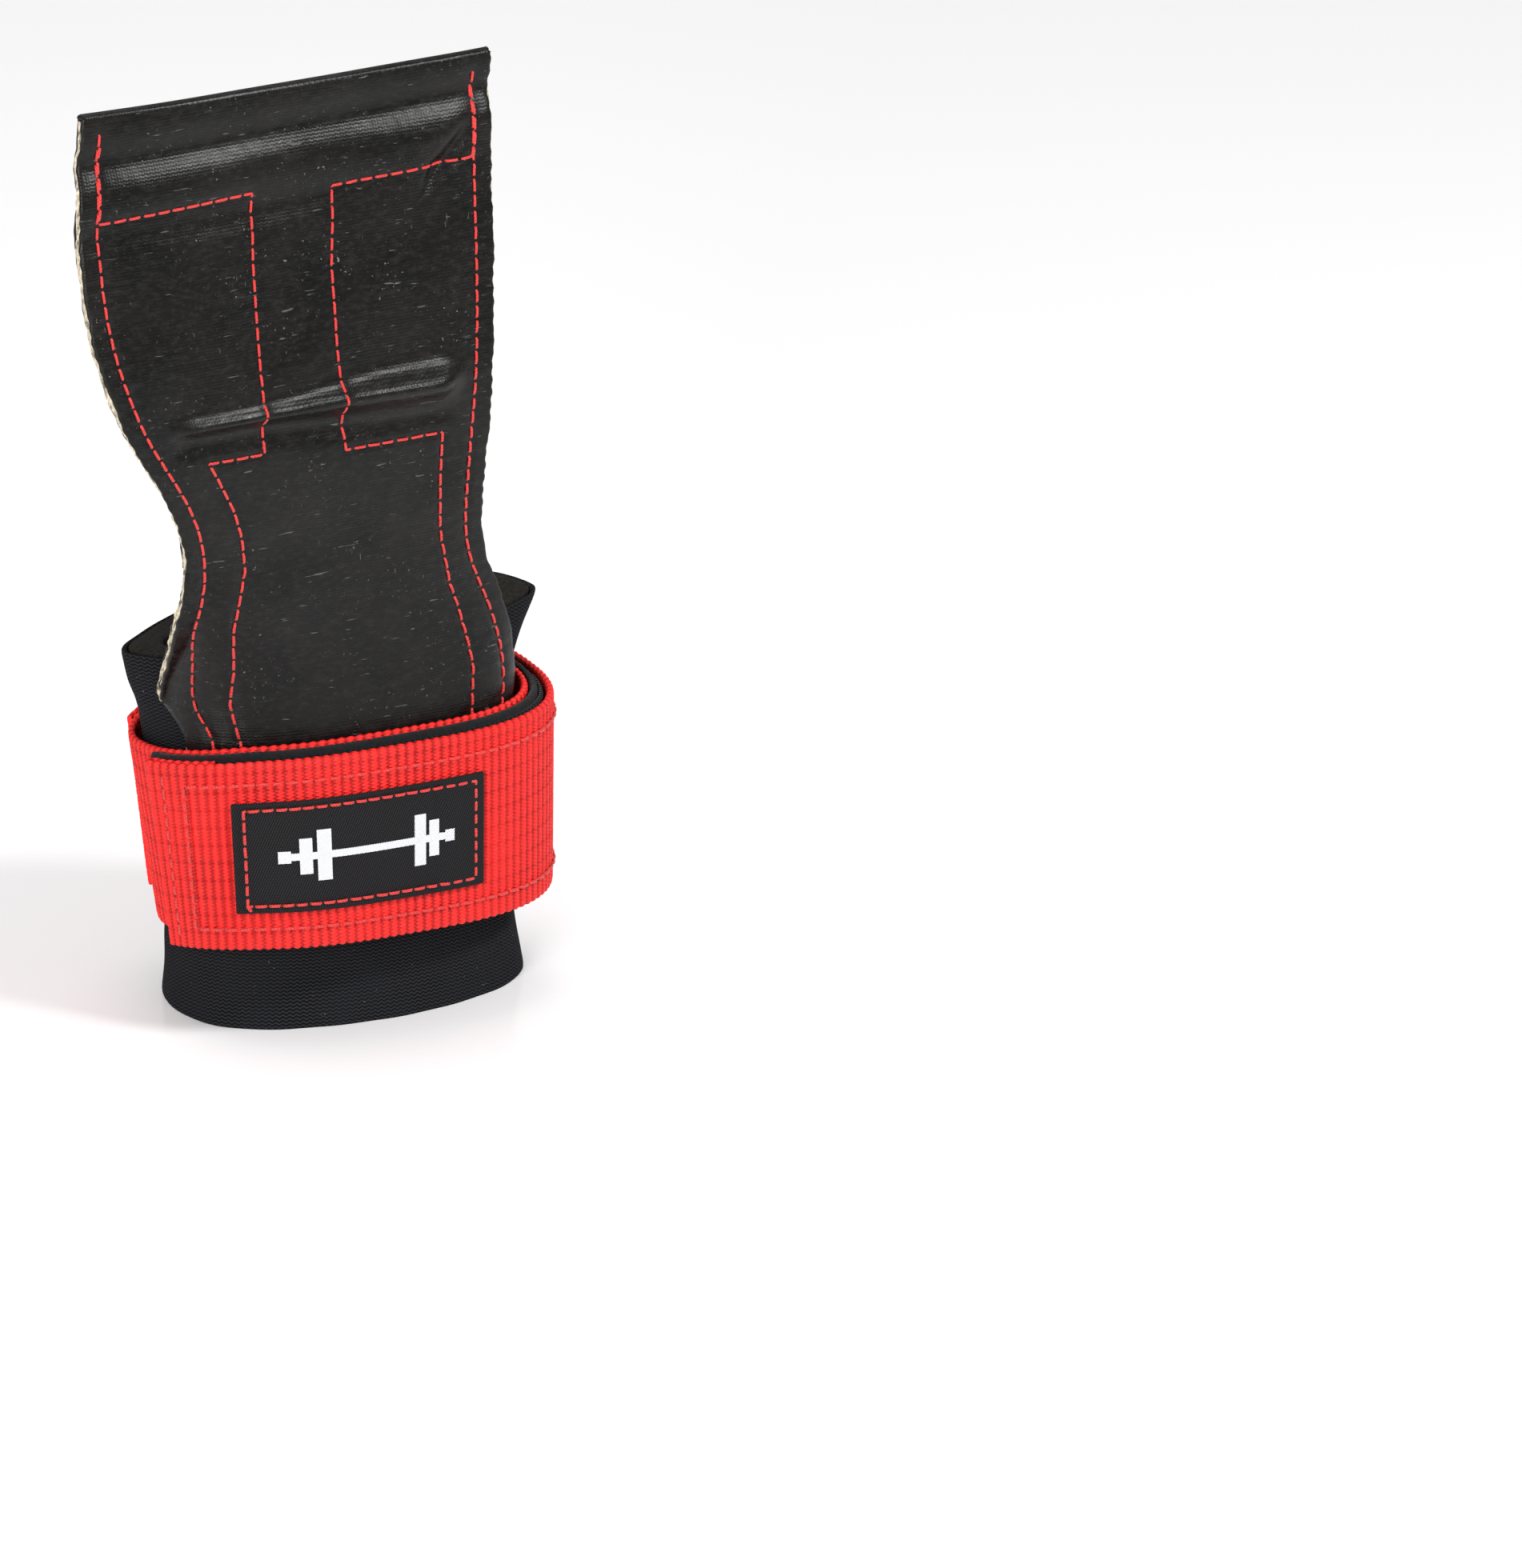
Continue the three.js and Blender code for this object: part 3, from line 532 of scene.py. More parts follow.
def settle(piece, body, slot, *nodes):
    """Rides a finished piece on its body when the body is a name, else bakes its transform, and hides the CAD nodes
    that it stands for; slot, its finish, is not used.
    """
    if isinstance(body, str):
        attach(piece, body)
    else:
        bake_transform(piece)
    if nodes:
        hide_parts(*nodes)
    return piece


# ---- places along the strap ----

def quarter_length(wide, tall, power):
    return float(quarter_table(wide, tall, power)[2][-1])


STRAP_MIDDLE = STRAP_RISE + WEBBING_WIDTH / 2
TONGUE_RISE = STRAP_RISE - TONGUE_DROP
MIDDLE_OVAL = strap_oval(STRAP_MIDDLE)
TURN_LENGTH = sum(quarter_length(MIDDLE_OVAL[0 if k < 2 else 1], MIDDLE_OVAL[3 if k in (0, 3) else 2],
                                 MIDDLE_OVAL[5 if k in (0, 3) else 4]) for k in range(4))


def as_turn(distance):
    return distance / TURN_LENGTH


def turns_between(start, end, step=0.3):
    return np.linspace(start, end, max(8, int(abs(end - start) * TURN_LENGTH / step)))


def oval_strip(start, end, rise, width, centre_offset, thickness, step=0.3):
    turns = turns_between(start, end, step)
    low, high = band_line(turns, rise, centre_offset), band_line(turns, rise + width, centre_offset)
    return Strip(low, high, thickness)


def loft(name, a, b, across, along, material, bulge=0.35):
    """A closed slab between two grids of points, with rounded walls along the grids' first and last columns."""
    rows, columns = a.shape[:2]
    loops = [a[:, k] for k in range(columns)]
    uvs = [(along[:, k], across[:, k]) for k in range(columns)]
    walls = 3
    for edge, inner, ordered in ((columns - 1, columns - 2, (a, b)), (0, 1, (b, a))):
        outward = unit(a[:, edge] - a[:, inner] + b[:, edge] - b[:, inner])
        thick = np.linalg.norm(a[:, edge] - b[:, edge], axis=-1, keepdims=True)
        wall = []
        for k in range(1, walls):
            share = k / walls
            push = outward * thick * bulge * math.sin(math.pi * share)
            wall.append(ordered[0][:, edge] * (1 - share) + ordered[1][:, edge] * share + push)
        wall_uvs = [(along[:, edge], across[:, edge] + 0.4 * k) for k in range(1, walls)]
        loops += wall
        uvs += wall_uvs
        if edge:
            loops += [b[:, k] for k in range(columns - 1, -1, -1)]
            uvs += [(along[:, k], across[:, k]) for k in range(columns - 1, -1, -1)]
    points = np.stack(loops, axis=1)
    ring = points.shape[1]
    faces = grid_faces(rows, ring, wrap=True)
    low, high = np.arange(columns - 1), 2 * columns + walls - 2 - np.arange(columns - 1)
    end = np.stack([low, low + 1, high - 1, high], axis=-1)
    caps = [end, end[:, ::-1] + (rows - 1) * ring]
    for left, right in ((columns - 1, columns + walls - 1), (2 * columns + walls - 2, ring)):
        corners = np.array([[left, left + 1, left + 2, (left + 3) % ring]])
        caps += [corners, corners[:, ::-1] + (rows - 1) * ring]
    flat = points.reshape(-1, 3)
    faces = facing_out(flat, np.concatenate([faces[:, ::-1]] + caps))
    uv = np.stack([np.stack([u, v], axis=-1) for u, v in uvs], axis=1).reshape(-1, 2) / 100
    return make_piece(name, flat, faces, uv, material, ends_of(rows, ring))


def wobble(seed, *waves):
    """A smooth irregular function of two lengths in mm, from a few sines: (pitch, strength) for each."""
    source = np.random.default_rng(seed)
    terms = []
    for pitch, strength in waves:
        for _ in range(3):
            heading, phase = source.uniform(0, math.pi), source.uniform(0, 2 * math.pi)
            turn = 2 * math.pi / (pitch * source.uniform(0.75, 1.3))
            terms.append((turn * math.cos(heading), turn * math.sin(heading), phase, strength / 2))
    return lambda x, y: sum(k * np.sin(p * x + q * y + f) for p, q, f, k in terms)


# ---- stitching ----

def lockstitches(name, path, normals, material, length=2.7, gap=0.3, radius=0.28, seed=1):
    """Single stitches of round thread along a line on a surface, each one diving into its holes at both ends."""
    source = np.random.default_rng(seed)
    s = lengths_along(path)
    count = max(1, int(round((s[-1] + gap) / (length + gap))))
    pitch = (s[-1] + gap) / count
    rings, sides = 9, 8
    t = np.linspace(0, 1, rings)
    starts = np.arange(count) * pitch + source.normal(0, 0.05, count)
    lengths = (pitch - gap) * (1 + source.normal(0, 0.03, count))
    where = (starts[:, None] + lengths[:, None] * t).clip(0, s[-1])
    centre, normal = spots_at(where, s, path), unit(spots_at(where, s, normals))
    tangent = unit(spots_at(where, s, np.gradient(path, axis=0)))
    side = unit(np.cross(tangent, normal))
    sway = source.normal(0, 0.035, (count, 1)) * (2 * t - 1)
    arch = 1 - np.abs(2 * t - 1) ** 5
    height = radius * (-1.1 + 1.75 * arch)
    swell = 0.72 + 0.28 * arch ** 0.5
    centre = centre + side * sway[..., None] + normal * height[None, :, None]
    angle = 2 * math.pi * np.arange(sides) / sides
    ring = (side[:, :, None] * np.cos(angle)[:, None] * 1.12 + normal[:, :, None] * np.sin(angle)[:, None] * 0.88)
    points = centre[:, :, None] + ring * (radius * swell)[None, :, None, None]
    one = np.concatenate([grid_faces(rings, sides, wrap=True), [[0, 3, 2, 1], [0, 5, 4, 3], [0, 7, 6, 5]]])
    last = (rings - 1) * sides
    one = np.concatenate([one, [[last, last + 1, last + 2, last + 3], [last, last + 3, last + 4, last + 5],
                                [last, last + 5, last + 6, last + 7]]])
    faces = (one[None] + (np.arange(count) * rings * sides)[:, None, None]).reshape(-1, 4)
    uv = np.stack(np.broadcast_arrays(where[:, :, None], angle * 1.2), axis=-1).reshape(-1, 2) / 100
    flat = points.reshape(-1, 3)
    return make_piece(name, flat, facing_out(flat, faces), uv, material)


def box_corners(left, right, low, high):
    return [(left, low), (right, low), (right, high), (left, high), (left, low)]


def along_lines(corners, step=0.4):
    """Points every step along straight runs between corners of any dimension."""
    corners = np.asarray(corners, float)
    runs = []
    for a, b in zip(corners[:-1], corners[1:]):
        count = max(1, int(np.linalg.norm(b - a) / step))
        runs.append(a + (b - a) * (np.arange(count) / count)[:, None])
    return np.concatenate(runs + [corners[-1:]])


def band_seam(name, body, corners, offset, seed, radius=0.3, length=2.5):
    """Stitches on the strap through corners of (distance along in mm, height)."""
    line = along_lines(corners)
    place = lambda off: np.array([band_spot(as_turn(s), z, off) for s, z in line])
    path = place(offset)
    seam = lockstitches(name, path, place(offset + 1) - path, THREAD, length=length, radius=radius, seed=seed)
    return settle(seam, body, "thread")


# ---- webbing ----

def ribs(s, z):
    """Height of the webbing's face: round ribs across it, twisted yarns in them, and grooves between its lanes."""
    twist = 0.34 * (0.5 + 0.5 * np.cos(2 * math.pi * z / YARN_PITCH))
    rib = np.abs(np.cos(math.pi * (s + twist) / RIB_PITCH)) ** 0.75
    lane = np.exp(-((np.abs((z + LANE_PITCH / 2) % LANE_PITCH - LANE_PITCH / 2)) / 0.3) ** 2)
    return 0.34 * (rib - 0.65) - 0.1 * lane * (1.3 - rib)


def fine_ribs(s, z):
    return 0.5 * ribs(s, z)


def plain(s, z):
    return 0 * s


def selvedge(s):
    return 0.3 * (np.abs(np.cos(math.pi * s / RIB_PITCH)) - 0.5)


def pile(s, z):
    return 0.16 * np.sin(s * 5.1 + np.sin(z * 3.3) * 2) * np.sin(z * 4.7 + np.sin(s * 2.9) * 2)


def hook_rows(s, z):
    return 0.3 * np.abs(np.cos(math.pi * s / 1.15)) ** 3 * (0.6 + 0.4 * np.cos(2 * math.pi * z / 0.9))


FACE_ROWS = 150
HALF_WEBBING = WEBBING_THICK / 2
RIBLESS = 1.32         # the webbing's thickness without the ribs on its faces
RING_TURN, RING_WIDTH, WIRE_RADIUS, RING_SLACK, RING_PLAY, RING_CORNER = 0.072, 15.0, 1.5, 2.0, 2.6, 3.2
KEEPER_THICK, KEEPER_LENGTH = 1.2, 12.0
RING_OFFSET = LOOP_INNER + KEEPER_THICK + 2 * GAP + WIRE_RADIUS


def band_spot(turn, z, offset):
    return band_line(np.array([turn]), z, offset)[0]


RING_MIDDLE = band_spot(RING_TURN, STRAP_MIDDLE, RING_OFFSET)
RING_UP = unit(band_spot(RING_TURN, STRAP_TOP, RING_OFFSET) - band_spot(RING_TURN, STRAP_RISE, RING_OFFSET))
RING_AHEAD = band_spot(RING_TURN + 0.001, STRAP_MIDDLE, RING_OFFSET) - RING_MIDDLE
RING_ALONG = unit(RING_AHEAD - RING_UP * RING_AHEAD.dot(RING_UP))
RING_OUT = np.cross(RING_ALONG, RING_UP)
KEEPER_BAR, FREE_BAR = RING_WIDTH / 2, -RING_WIDTH / 2


def ring_spot(along, height, out=0.0):
    return RING_MIDDLE + RING_ALONG * along + RING_UP * height + RING_OUT * out


def up_ring(z):
    return (z - STRAP_MIDDLE) / RING_UP[2]


def sag_at(along):
    beside = band_spot(RING_TURN + as_turn(along), STRAP_MIDDLE, RING_OFFSET)
    return -(beside - RING_MIDDLE).dot(RING_OUT)


def resample_edges(low, high, length):
    """Two edge lines at the same even steps, one for each 0.3 mm of a length, along the middle between them."""
    s = lengths_along((low + high) / 2)
    even = np.linspace(0, s[-1], int(length / 0.3))
    return spots_at(even, s, low), spots_at(even, s, high)


def smooth_line(line, rounds):
    for _ in range(rounds):
        line = np.concatenate([line[:1], (line[:-2] + 2 * line[1:-1] + line[2:]) / 4, line[-1:]])
    return line


def return_line(z):
    """The long strap's middle plane at a height above the strap's lower edge: under the ring, round it and back."""
    free_turn = 1 + RING_TURN + as_turn(FREE_BAR)
    radius = WIRE_RADIUS + RING_SLACK + HALF_WEBBING
    rise = STRAP_RISE + z
    start = STRAP_END + as_turn(GAP)
    leave = free_turn - as_turn(1)
    out = band_line(np.linspace(start, leave, 40), rise, HALF_WEBBING)
    angles = -math.pi / 2 + math.pi * np.arange(1, 16) / 16
    wrap = np.array([ring_spot(FREE_BAR + radius * math.cos(a), up_ring(rise), radius * math.sin(a)) for a in angles])
    turns = leave + (TONGUE_TIP - leave) * np.linspace(0, 1, 420)
    settled = ease(0, 0.3, (leave - turns) / (leave - TONGUE_HINGE))
    over_ring = RING_OFFSET + radius + sag_at(FREE_BAR)
    offsets = over_ring + (TONGUE_INNER + HALF_WEBBING - over_ring) * settled
    back = band_line(turns, rise, offsets)
    back[:, 2] -= settled * TONGUE_DROP
    return np.concatenate([out, wrap, back])


def long_strap():
    """The return and the tongue as the one length of webbing that they are."""
    low, high = return_line(0), return_line(WEBBING_WIDTH)
    low, high = resample_edges(low, high, lengths_along(low)[-1])
    strap = Strip(smooth_line(low, 24), smooth_line(high, 24), RIBLESS, outward=-1.0)
    piece = strap.build("long_strap", RED, FACE_ROWS, ribs, scallop=selvedge)
    return settle(piece, PEEL, "webbing", "strap_return", "strap_tongue")


HINGE = (band_spot(TONGUE_HINGE, STRAP_MIDDLE, TONGUE_INNER) + SHIFT) * MM
PEEL = ("cuff", "tongue", tuple(HINGE + (0.002, 0.006, 0)), tuple(HINGE - (0.002, 0.006, 0)))


def add_straps():
    base = oval_strip(STRAP_START, STRAP_END, STRAP_RISE, WEBBING_WIDTH, HALF_WEBBING, RIBLESS)
    settle(base.build("sewn_strap", RED, FACE_ROWS, ribs, scallop=selvedge), "cuff", "webbing", "base_webbing")
    long_strap()
    loops = oval_strip(TONGUE_TIP - as_turn(1.8), 0.9, STRAP_RISE + 0.5, TAPE_WIDTH, LOOP_INNER + 0.75, 1.35, 0.45)
    settle(loops.build("loop_tape_pile", LOOPS, 70, pile, scallop=lambda s: 0.12 * np.sin(s * 6.1)),
           "cuff", "tape", "loop_tape")
    tip = oval_strip(TONGUE_TIP, TONGUE_TIP + as_turn(9), TONGUE_RISE, WEBBING_WIDTH, HOOK_INNER + 0.6, 1.1)
    settle(tip.build("tongue_tip_hem", RED, FACE_ROWS, fine_ribs, scallop=selvedge), "tongue", "webbing",
           "tongue_tip_fold")
    hooks = oval_strip(TONGUE_TIP + as_turn(9.6), TONGUE_HINGE - 2 * as_turn(0.6), TONGUE_RISE + 0.6, TAPE_WIDTH,
                       HOOK_INNER + 0.6, 0.85)
    settle(hooks.build("hook_tape_face", HOOKS, 110, plain, back_relief=hook_rows), "tongue", "tape",
           "hook_tape")
    add_ends()


def add_ends():
    """The folded tip that closes the tongue's doubled end."""
    z = np.linspace(0, WEBBING_WIDTH, 60)
    angle = np.linspace(math.pi / 2, 3 * math.pi / 2, 9)
    middle = (TONGUE_INNER + TONGUE_OUTER) / 4 + (HOOK_INNER + TAPE_THICK / 2) / 2
    half = (TONGUE_OUTER - HOOK_INNER) / 2 - 0.15
    turns = TONGUE_TIP + as_turn(0.4) + as_turn(1.5) * np.cos(angle)
    rows = []
    for rise in z:
        ribbed = 0.05 * abs(math.cos(math.pi * rise / YARN_PITCH))
        rows.append(np.stack([band_spot(t, TONGUE_RISE + rise, middle + (half + ribbed) * math.sin(a))
                              for t, a in zip(turns, angle)]))
    outer = np.stack(rows)
    inner = outer + (outer.mean(axis=1, keepdims=True) - outer) * 0.4
    across = np.repeat(z[:, None], len(angle), axis=1)
    along = np.repeat(np.linspace(0, 4, len(angle))[None], len(z), axis=0)
    settle(loft("tongue_tip_turn", outer, inner, across, along, RED, bulge=0.1), "tongue", "webbing")


def add_ring():
    points = []
    for sign_a, sign_h, start in ((1, 1, 0), (-1, 1, 90), (-1, -1, 180), (1, -1, 270)):
        for k in range(9):
            angle = math.radians(start + k * 11.25)
            points.append(ring_spot(sign_a * (KEEPER_BAR - RING_CORNER) + RING_CORNER * math.cos(angle),
                                    sign_h * ((WEBBING_WIDTH / 2 + RING_PLAY + WIRE_RADIUS) - RING_CORNER)
                                    + RING_CORNER * math.sin(angle)))
    closed = np.array(points + points[:1])
    s = lengths_along(closed)
    line = spots_at(np.linspace(0, s[-1], int(s[-1] / 0.8)), s, closed)[:-1]
    tangent = unit(np.roll(line, -1, axis=0) - np.roll(line, 1, axis=0))
    side = np.cross(tangent, RING_OUT)
    sides = 28
    angle = 2 * math.pi * np.arange(sides) / sides
    weld = np.abs(np.arange(len(line)) - len(line) * 0.62)
    radius = WIRE_RADIUS - 0.12 * np.exp(-(weld / 0.9) ** 2)
    ring = line[:, None] + radius[:, None, None] * (side[:, None] * np.cos(angle)[:, None]
                                                    + RING_OUT * np.sin(angle)[:, None])
    flat = ring.reshape(-1, 3)
    rows = len(line)
    faces = grid_faces(rows, sides, wrap=True)
    closing = np.arange(sides)
    last = (rows - 1) * sides
    join = np.stack([last + closing, last + (closing + 1) % sides, (closing + 1) % sides, closing], axis=-1)
    faces = facing_out(flat, np.concatenate([faces, join]))
    settle(make_piece("wire_ring", flat, faces, np.zeros((len(flat), 2)), STEEL), "ring", "steel", "buckle_ring")


def add_keeper():
    """A short webbing loop round the ring's fixed bar, with both ends sewn to the strap."""
    radius = WIRE_RADIUS + 2 * GAP + KEEPER_THICK / 2
    height = WEBBING_WIDTH - 4

    def line(z):
        rise = STRAP_MIDDLE - height / 2 + z
        low = [band_spot(RING_TURN + as_turn(a), rise, LOOP_INNER + KEEPER_THICK / 2)
               for a in np.linspace(KEEPER_BAR + KEEPER_LENGTH, KEEPER_BAR + 1, 40)]
        wrap = [ring_spot(KEEPER_BAR + radius * math.cos(a), up_ring(rise), radius * math.sin(a))
                for a in -math.pi / 2 - math.pi * np.arange(1, 12) / 12]
        flat, top = LOOP_INNER + 1.5 * KEEPER_THICK + GAP, RING_OFFSET + radius + sag_at(KEEPER_BAR)
        over = [band_spot(RING_TURN + as_turn(KEEPER_BAR + 1 + (KEEPER_LENGTH - 1) * share), rise,
                          top + (flat - top) * float(ease(0, 0.6, share))) for share in np.linspace(0, 1, 44)]
        return np.array(low + wrap + over)

    low, high = line(0), line(height)
    low, high = resample_edges(low, high, lengths_along((low + high) / 2)[-1])
    strip = Strip(smooth_line(low, 10), smooth_line(high, 10), 1.0, outward=-1.0)
    settle(strip.build("ring_keeper_loop", RED, 110, fine_ribs, scallop=lambda s: 0.6 * selvedge(s)), "cuff",
           "webbing", "ring_keeper")
    top = LOOP_INNER + 2 * KEEPER_THICK + GAP + 0.1
    start = RING_TURN * TURN_LENGTH + KEEPER_BAR
    for k, (a, b) in enumerate(((5.5, 10.8), (7.0, 9.3))):          # one box of stitches inside another
        reach = height / 2 - 2.5 - 2 * k
        z0, z1 = STRAP_MIDDLE - reach, STRAP_MIDDLE + reach
        band_seam(f"keeper_box_stitch_{k + 1}", "cuff", box_corners(start + a, start + b, z0, z1), top, 40 + k)


# ---- label ----

LABEL_START, LABEL_END, LABEL_HEIGHT = 0.351 * TURN_LENGTH, 0.568 * TURN_LENGTH, 22.4       # mm along and up
LABEL_RISE = TONGUE_RISE + (WEBBING_WIDTH - LABEL_HEIGHT) / 2
LABEL_FACE = TONGUE_OUTER + GAP + 0.6


def folded_edge(length, width, border):
    """Height of a label's face: a turned edge stands up round it, and the middle is pulled flat by its stitches."""
    def relief(s, z):
        inside = np.minimum(np.minimum(s, length - s), np.minimum(z, width - z))
        turned = 1 - ease(border - 0.35, border + 0.1, inside)
        dent = np.exp(-((inside - border - 0.7) / 0.5) ** 2)
        return 0.22 * turned - 0.1 * dent + 0.02 * np.sin(s * 9) * np.sin(z * 9)
    return relief


def add_label():
    length = LABEL_END - LABEL_START
    strip = oval_strip(as_turn(LABEL_START), as_turn(LABEL_END), LABEL_RISE, LABEL_HEIGHT, LABEL_FACE - 0.3, 0.6,
                       0.25)
    relief = folded_edge(length, LABEL_HEIGHT, 0.85)
    piece = strip.build("woven_label", LABEL, 100, relief, back_relief=plain)
    settle(piece, "tongue", "label", "label")
    inset, low, high = 1.5, LABEL_RISE + 1.5, LABEL_RISE + LABEL_HEIGHT - 1.5
    box = [(LABEL_START + inset + 0.5, low - 1.2), (LABEL_START + inset, low), (LABEL_END - inset, low),
           (LABEL_END - inset, high), (LABEL_START + inset, high), (LABEL_START + inset, low - 0.6)]
    seam = band_seam("label_stitching", "tongue", box, LABEL_FACE + 0.02, 11, radius=0.27, length=2.3)
    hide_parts("label_thread")
    add_emblem()


def add_emblem():
    """A plain barbell sign woven in white: a bar, two plates on each side and their collars."""
    middle, height = (LABEL_START + LABEL_END) / 2, LABEL_RISE + LABEL_HEIGHT / 2
    bars = [(0, 0, 27, 1.4)]         # along, up, width and height in mm
    for side in (-1, 1):
        bars += [(side * 8.3, 0, 2.2, 10.2), (side * 11.1, 0, 1.9, 7.2), (side * 14.2, 0, 1.8, 2.4)]
    for k, (along, up, wide, tall) in enumerate(bars):
        start, end = middle + along - wide / 2, middle + along + wide / 2
        strip = oval_strip(as_turn(start), as_turn(end), height + up - tall / 2, tall, LABEL_FACE + 0.1, 0.3, 0.12)
        satin = lambda s, z: 0.045 * np.cos(2 * math.pi * z / 0.42) * np.cos(2 * math.pi * (s + 0.5 * z) / 0.9)
        rows = max(12, int(tall / 0.16))
        settle(strip.build(f"emblem_{k + 1}", EMBLEM, rows, satin), "tongue", "label")


def add_strap_seams():
    tip, hinge = TONGUE_TIP * TURN_LENGTH, TONGUE_HINGE * TURN_LENGTH
    face = TONGUE_OUTER + 0.02
    low, high = TONGUE_RISE + 4.3, TONGUE_RISE + WEBBING_WIDTH - 4.3
    outer = [(hinge - 3, low), (tip + 5.4, low), (tip + 5.4, high), (hinge - 3, high)]
    band_seam("tongue_edge_stitching", "tongue", outer, face, 21, radius=0.29, length=2.45)
    band_seam("tongue_tip_stitching", "tongue", [(tip + 2.6, low - 2), (tip + 2.6, high + 2)], face, 22, radius=0.27)
    line = along_lines(box_corners(tip + 12, hinge - 4, low + 1, high - 1))
    face, deeper = (np.array([band_spot(as_turn(s), z, HOOK_INNER + lift) for s, z in line])
                    for lift in (0.02, -0.98))
    settle(lockstitches("hook_tape_stitching", face, deeper - face, THREAD, seed=23), "tongue", "thread")
    end = STRAP_END * TURN_LENGTH
    for k, z in enumerate((STRAP_RISE + 3.2, STRAP_TOP - 3.2)):
        rest = [(0.925 * TURN_LENGTH, z), (end - 2.5, z)]
        band_seam(f"sewn_strap_stitching_{k + 1}", "cuff", rest, WEBBING_THICK, 25 + k)
    band_seam("sewn_strap_end_stitching", "cuff", [(end - 2.5, STRAP_RISE + 3.2), (end - 2.5, STRAP_TOP - 3.2)],
              WEBBING_THICK, 27)


# ---- cuff ----

def cuff_point(turns, z, depth, swell):
    """Points of the cuff at a height and a depth behind its outer face."""
    outer, lining = on_oval(outer_oval(z), turns, z), on_oval(lining_oval(z), turns, z)
    share = depth / CUFF_WALL
    out = unit(outer - lining)
    return outer * (1 - share) + lining * share + out * swell[:, None]


CUFF_WAVES = wobble(3, (26, 0.35), (11, 0.14))


def cuff_layer(name, material, outer, inner, low, high, rows, columns, tuck):
    """One layer of the cuff; tuck rounds its upper and lower edges inwards."""
    turns = np.linspace(CUFF_GAP, 1 - CUFF_GAP, rows)
    share = np.concatenate([[0, 0.004, 0.012, 0.025], np.linspace(0.045, 0.955, columns), [0.975, 0.988, 0.996, 1]])
    heights = low + (high - low) * share
    faces = []
    for depth, sign in ((outer, -1), (inner, 1)):
        grid = []
        for k, z in enumerate(heights):
            edge = min(z - low, high - z)
            rounding = tuck * (1 - math.sqrt(1 - max(0.0, 1 - edge / 1.6) ** 2))       # within 1.6 mm of an edge
            # the padding waves only where no strap holds it, and less behind the flap
            free = float(ease(STRAP_TOP + 1, STRAP_TOP + 8, z) + (1 - ease(STRAP_RISE - 9, STRAP_RISE - 2, z)))
            front = np.exp(-((turns - 0.47) / 0.12) ** 2) * float(ease(STRAP_TOP - 4, STRAP_TOP + 2, z))
            calm = free * (1 - 0.9 * front)
            swell = CUFF_WAVES(turns * TURN_LENGTH, z) * calm * (0.8 if depth else 1.0)
            low_puff = 0.2 * np.exp(-((z - (STRAP_RISE - 6)) / 5.0) ** 2)
            swell = (swell + low_puff * (1 if depth < CUFF_WALL / 2 else 0.4)).clip(-0.6, 1.1) + sign * rounding
            points = cuff_point(turns, z, depth, swell)
            rim = float(ease(CUFF_HEIGHT - 6, CUFF_HEIGHT, z))
            points[:, 2] += rim * (0.35 * np.sin(turns * 24 + 1) + 0.25 * np.sin(turns * 57)) - 0.3 * rim
            points[:, 2] = points[:, 2].clip(0.02)
            grid.append(points)
        faces.append(np.stack(grid, axis=1))
    along = np.repeat((turns * TURN_LENGTH)[:, None], len(heights), axis=1)
    across = np.repeat(heights[None], rows, axis=0)
    return loft(name, faces[0], faces[1], across, along, material, bulge=0.0)


def add_cuff():
    facing = 0.8
    core = cuff_layer("cuff_foam", FOAM, facing + 0.1, CUFF_WALL - facing - 0.1, 0.0, CUFF_HEIGHT - 0.05, 300, 70,
                      0.5)
    settle(core, "cuff", "foam", "cuff_foam_core")
    for name, outer, node in (("cuff_outer_knit", 0.0, "cuff_outer_facing"),
                              ("cuff_lining_knit", CUFF_WALL - facing, "cuff_inner_facing")):
        knit = cuff_layer(name, KNIT, outer, outer + facing, 0.05, CUFF_HEIGHT - 0.35, 420, 110, 0.35)
        settle(knit, "cuff", "knit", node)
    add_lining_seams()


def add_lining_seams():
    """Where the strap and the flap are sewn through, the lining shows two long boxes of stitches."""
    for k, (low, high) in enumerate(((STRAP_RISE + 4, STRAP_RISE + 13), (STRAP_TOP - 13, STRAP_TOP - 4))):
        line = along_lines(box_corners(0.4, 0.6, low, high), step=0.002)[:-1]
        face, behind = (np.array([on_oval(lining_oval(z), np.array([turn]), z, depth)[0] for turn, z in line])
                        for depth in (0.05, 1.05))
        settle(lockstitches(f"lining_box_stitching_{k + 1}", face, face - behind, THREAD, seed=31 + k),
               "cuff", "thread")


# ---- flap ----

class Profile:
    """A smooth line through (height, value) pairs, as the CAD draws it."""

    def __init__(self, pairs):
        self.z, self.v = np.array(pairs, float).T
        slope = np.empty(len(self.z))
        slope[1:-1] = (self.v[2:] - self.v[:-2]) / (self.z[2:] - self.z[:-2])
        slope[0] = (self.v[1] - self.v[0]) / (self.z[1] - self.z[0])
        slope[-1] = (self.v[-1] - self.v[-2]) / (self.z[-1] - self.z[-2])
        self.slope = slope

    def __call__(self, z):
        z = np.clip(z, self.z[0], self.z[-1])
        i = np.clip(np.searchsorted(self.z, z, side="right"), 1, len(self.z) - 1)
        run = self.z[i] - self.z[i - 1]
        t = (z - self.z[i - 1]) / run
        t2, t3 = t * t, t * t * t
        return ((2 * t3 - 3 * t2 + 1) * self.v[i - 1] + (t3 - 2 * t2 + t) * run * self.slope[i - 1]
                + (3 * t2 - 2 * t3) * self.v[i] + (t3 - t2) * run * self.slope[i])


